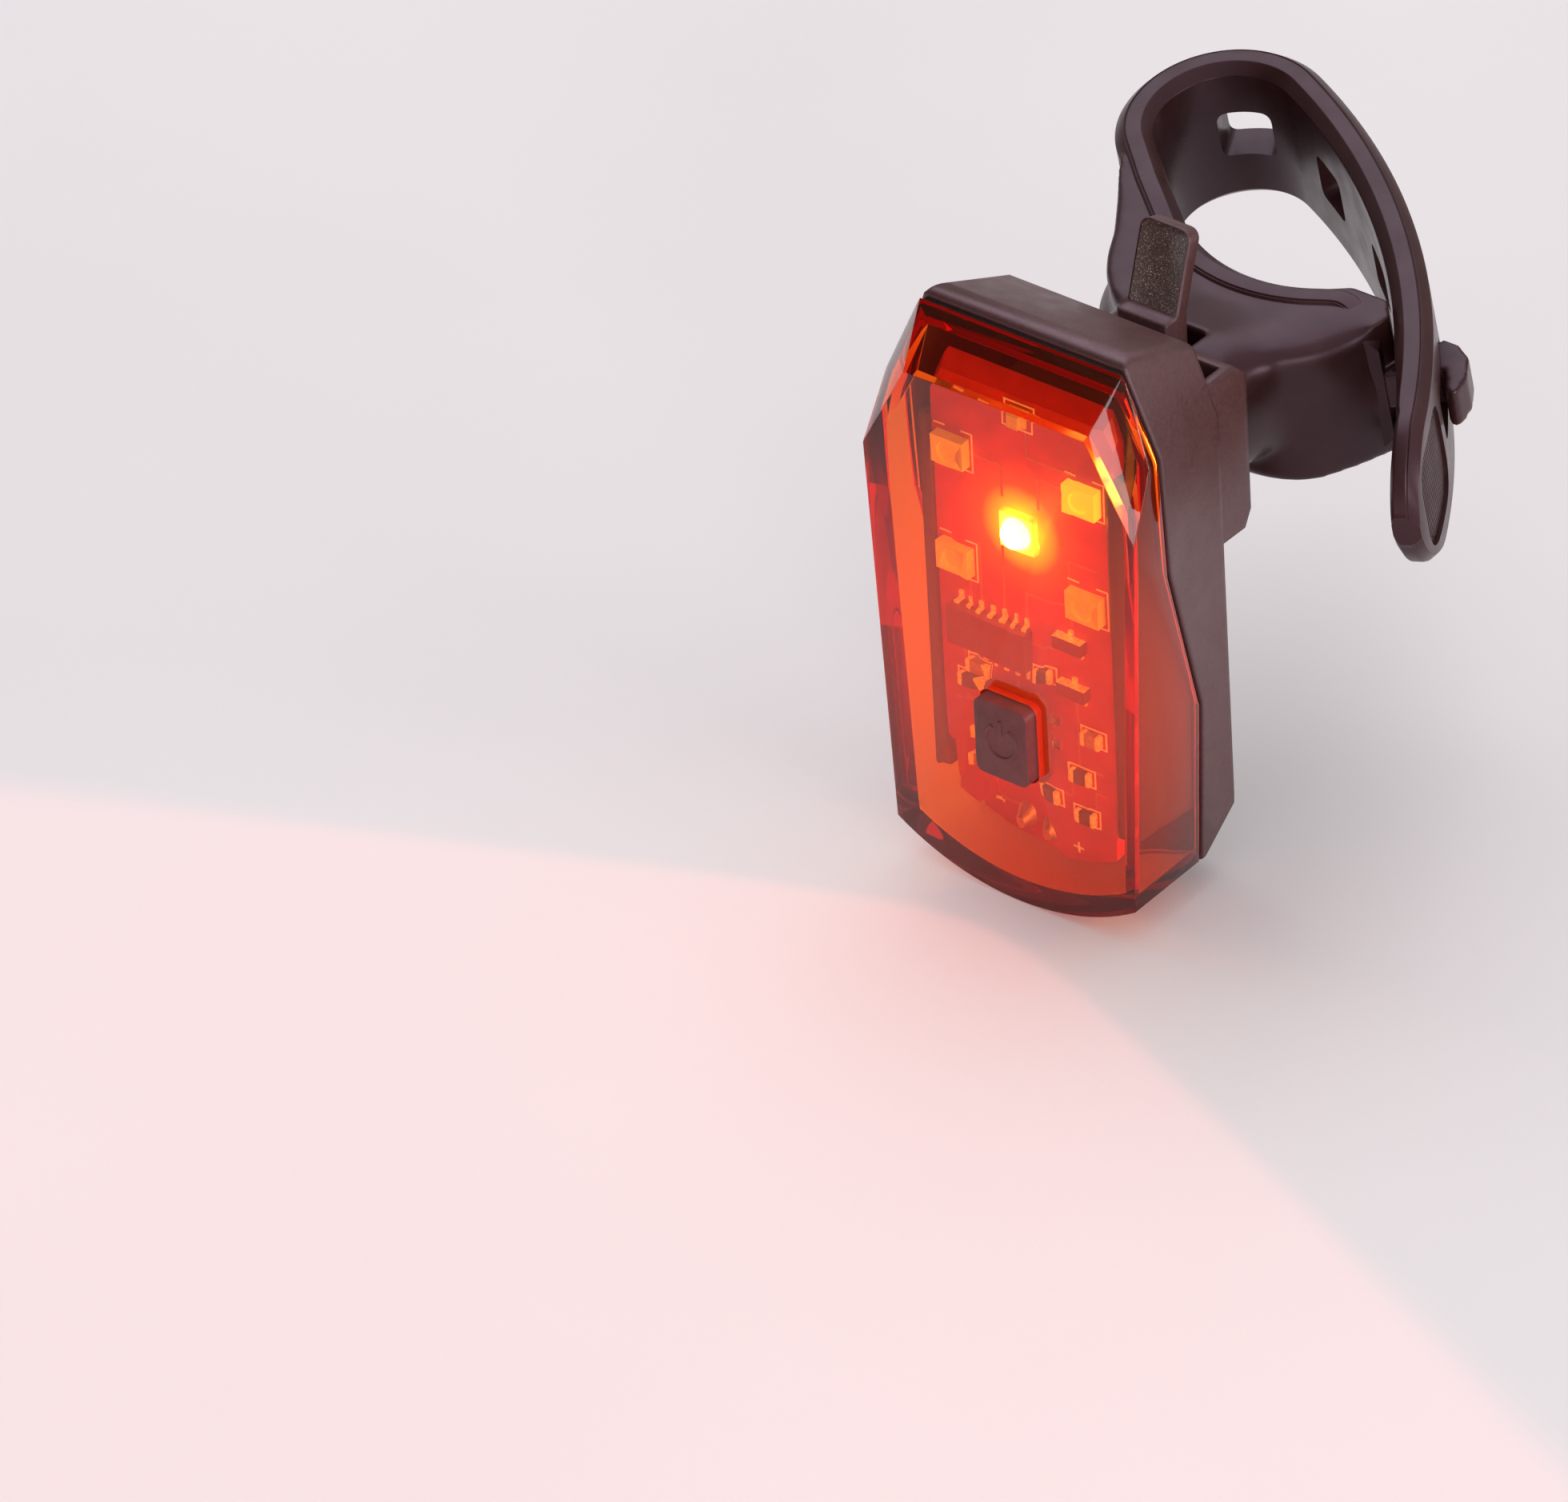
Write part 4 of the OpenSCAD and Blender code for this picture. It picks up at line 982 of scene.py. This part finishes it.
def add_sky(tree):
    """Soft light: cool from above, dim and warm from the sides, a dark screen at the front left."""
    sky = tree.nodes["Background"]
    sky.inputs["Strength"].default_value = 0.64
    place = tree.nodes.new("ShaderNodeTexCoord")

    def towards(direction, low, high):
        aim = tree.nodes.new("ShaderNodeVectorMath")
        aim.operation = "DOT_PRODUCT"
        aim.inputs[1].default_value = Vector(direction).normalized()
        tree.links.new(place.outputs["Generated"], aim.inputs[0])
        share = tree.nodes.new("ShaderNodeMapRange")
        share.interpolation_type = "SMOOTHSTEP"
        share.inputs["From Min"].default_value = low
        share.inputs["From Max"].default_value = high
        tree.links.new(aim.outputs["Value"], share.inputs["Value"])
        return share.outputs["Result"]

    def mix(factor, low, high):
        made = tree.nodes.new("ShaderNodeMix")
        made.data_type = "RGBA"
        tree.links.new(factor, made.inputs["Factor"])
        for socket, value in zip(made.inputs[6:8], (low, high)):
            if isinstance(value, tuple):
                socket.default_value = (*value, 1)
            else:
                tree.links.new(value, socket)
        return made.outputs[2]

    dome = mix(towards((0, 0, 1), 0.1, 0.8), (0.42, 0.37, 0.34), (1.2, 1.165, 1.25))
    screened = mix(towards((-0.54, -0.67, 0.45), 0.72, 0.95), dome, (0.1, 0.09, 0.09))
    tree.links.new(screened, sky.inputs["Color"])


def add_stage():
    """Floor, studio light, the beam on the floor and the main lamp's light inside the lens."""
    world = bpy.data.worlds.new("studio")
    world.use_nodes = True
    add_sky(world.node_tree)
    scene.world = world

    floor_z = cad_box[0].z - 0.0001
    mesh = bpy.data.meshes.new("floor")
    corners = ((-1, -1), (1, -1), (1, 1), (-1, 1))
    mesh.from_pydata(
        [(x * FLOOR_HALF, y * FLOOR_HALF, floor_z) for x, y in corners], [], [(0, 1, 2, 3)],
    )
    paper = Surface("paper", (0.82, 0.8, 0.785), 0.85, Specular_IOR_Level=0.2)
    paper.mottle(60.0, (0.81, 0.79, 0.775), (0.83, 0.81, 0.795))
    floor = add_mesh("floor", mesh, paper.material)

    middle = lamp(0, 15, 30)
    add_area("key", Vector((-0.3, 0.3, 0.85)), middle, (1.0, 1.0), 4.6, (0.98, 0.95, 1.0))
    add_area("front_right", middle + Vector((0.767, -0.618, 0.2)) * 0.8, middle, (0.22, 0.3), 1.1)
    add_area("right", middle + Vector((0.95, 0.1, 0.1)), middle, (0.5, 0.3), 4.8, (1.0, 0.94, 0.92))
    beam = add_spot("beam", lamp(0, -1.0, 9.0), lamp(0, -100, 9.0), 137, (1.0, 0.2, 0.16), 0.08)
    even_out(beam, 780.0)
    inside = bpy.data.lights.new("inside", "POINT")
    inside.energy = 0.008
    inside.color = (1.0, 0.5, 0.15)
    inside.shadow_soft_size = LED_SIZE
    glow = bpy.data.objects.new("inside", inside)
    glow.location = lamp(0, 2.4, 37.5)
    scene.collection.objects.link(glow)


# Faces with less than this of the way back turn to the front or the side
AHEAD = 0.3
LED_WINDOW_R = 1.1
CHIP_Z = 25.6
CHIP_HALF = 1.97
LEGS_Y = 3.6

add_camera()
finish = make_materials()

lens = rounded("front_lens", "lamp", finish["lens"], 0.4)
lens.visible_shadow = False
mark_rim(lens, "lens_seal", finish["lens_rim"])
mark_rim(lens, "power_button", finish["well"], 0.45)
add_housing(finish["housing"])
add_lever(finish["housing"], finish["tab"])
rounded("clip_tongue", "bracket", finish["housing"], 0.2)
rounded("power_button", "button", finish["button"], 0.25)
rounded("lens_seal", "lamp", finish["seal"], 0.08, 1)
rounded("charge_cover", "port_cover", finish["button"], 0.2)
add_strap(finish["rubber"])
add_tail_ribs(finish["rubber"])
add_seat_rim(finish["rubber"])
add_saddle(finish["rubber"])
add_board_print(finish["print"])
add_traces(finish["trace"])
add_chip_ends(finish["tin"])

dress("circuit_board", finish["board"])
dress("charge_board", finish["board"])
dress("main_led", finish["led_main"])
dress("upper_right_led", finish["led_bright"])
for name in ("upper_left_led", "lower_left_led", "lower_right_led"):
    low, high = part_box(name)
    middle = (low + high) / 2 / MM - Vector(LAMP_AT)
    two_tone(
        name, "lamp", finish["led"], finish["led_window"],
        lambda at, way, middle=middle: way.y < AHEAD and (at - middle).xz.length < LED_WINDOW_R,
    )
dress("indicator_led", finish["led"])
two_tone(
    "controller_chip", "lamp", finish["chip"], finish["tin"],
    lambda at, way: abs(at.z - CHIP_Z) > CHIP_HALF,
)
two_tone(
    "transistors", "lamp", finish["chip"], finish["tin"],
    lambda at, way: at.y > LEGS_Y and way.y < AHEAD,
)
dress("resistors", finish["resistor"])
dress("capacitors", finish["capacitor"])
for name in ("solder_joints", "link_pins", "charge_socket", "tact_switch"):
    dress(name, finish["metal"])
dress("switch_plunger", finish["chip"])
dress("battery_cell", finish["cell"])
dress("battery_pad", finish["foam"])
dress("positive_lead", finish["lead_red"])
dress("negative_lead", finish["lead_black"])

add_stage()
scene.view_settings.view_transform = "Standard"
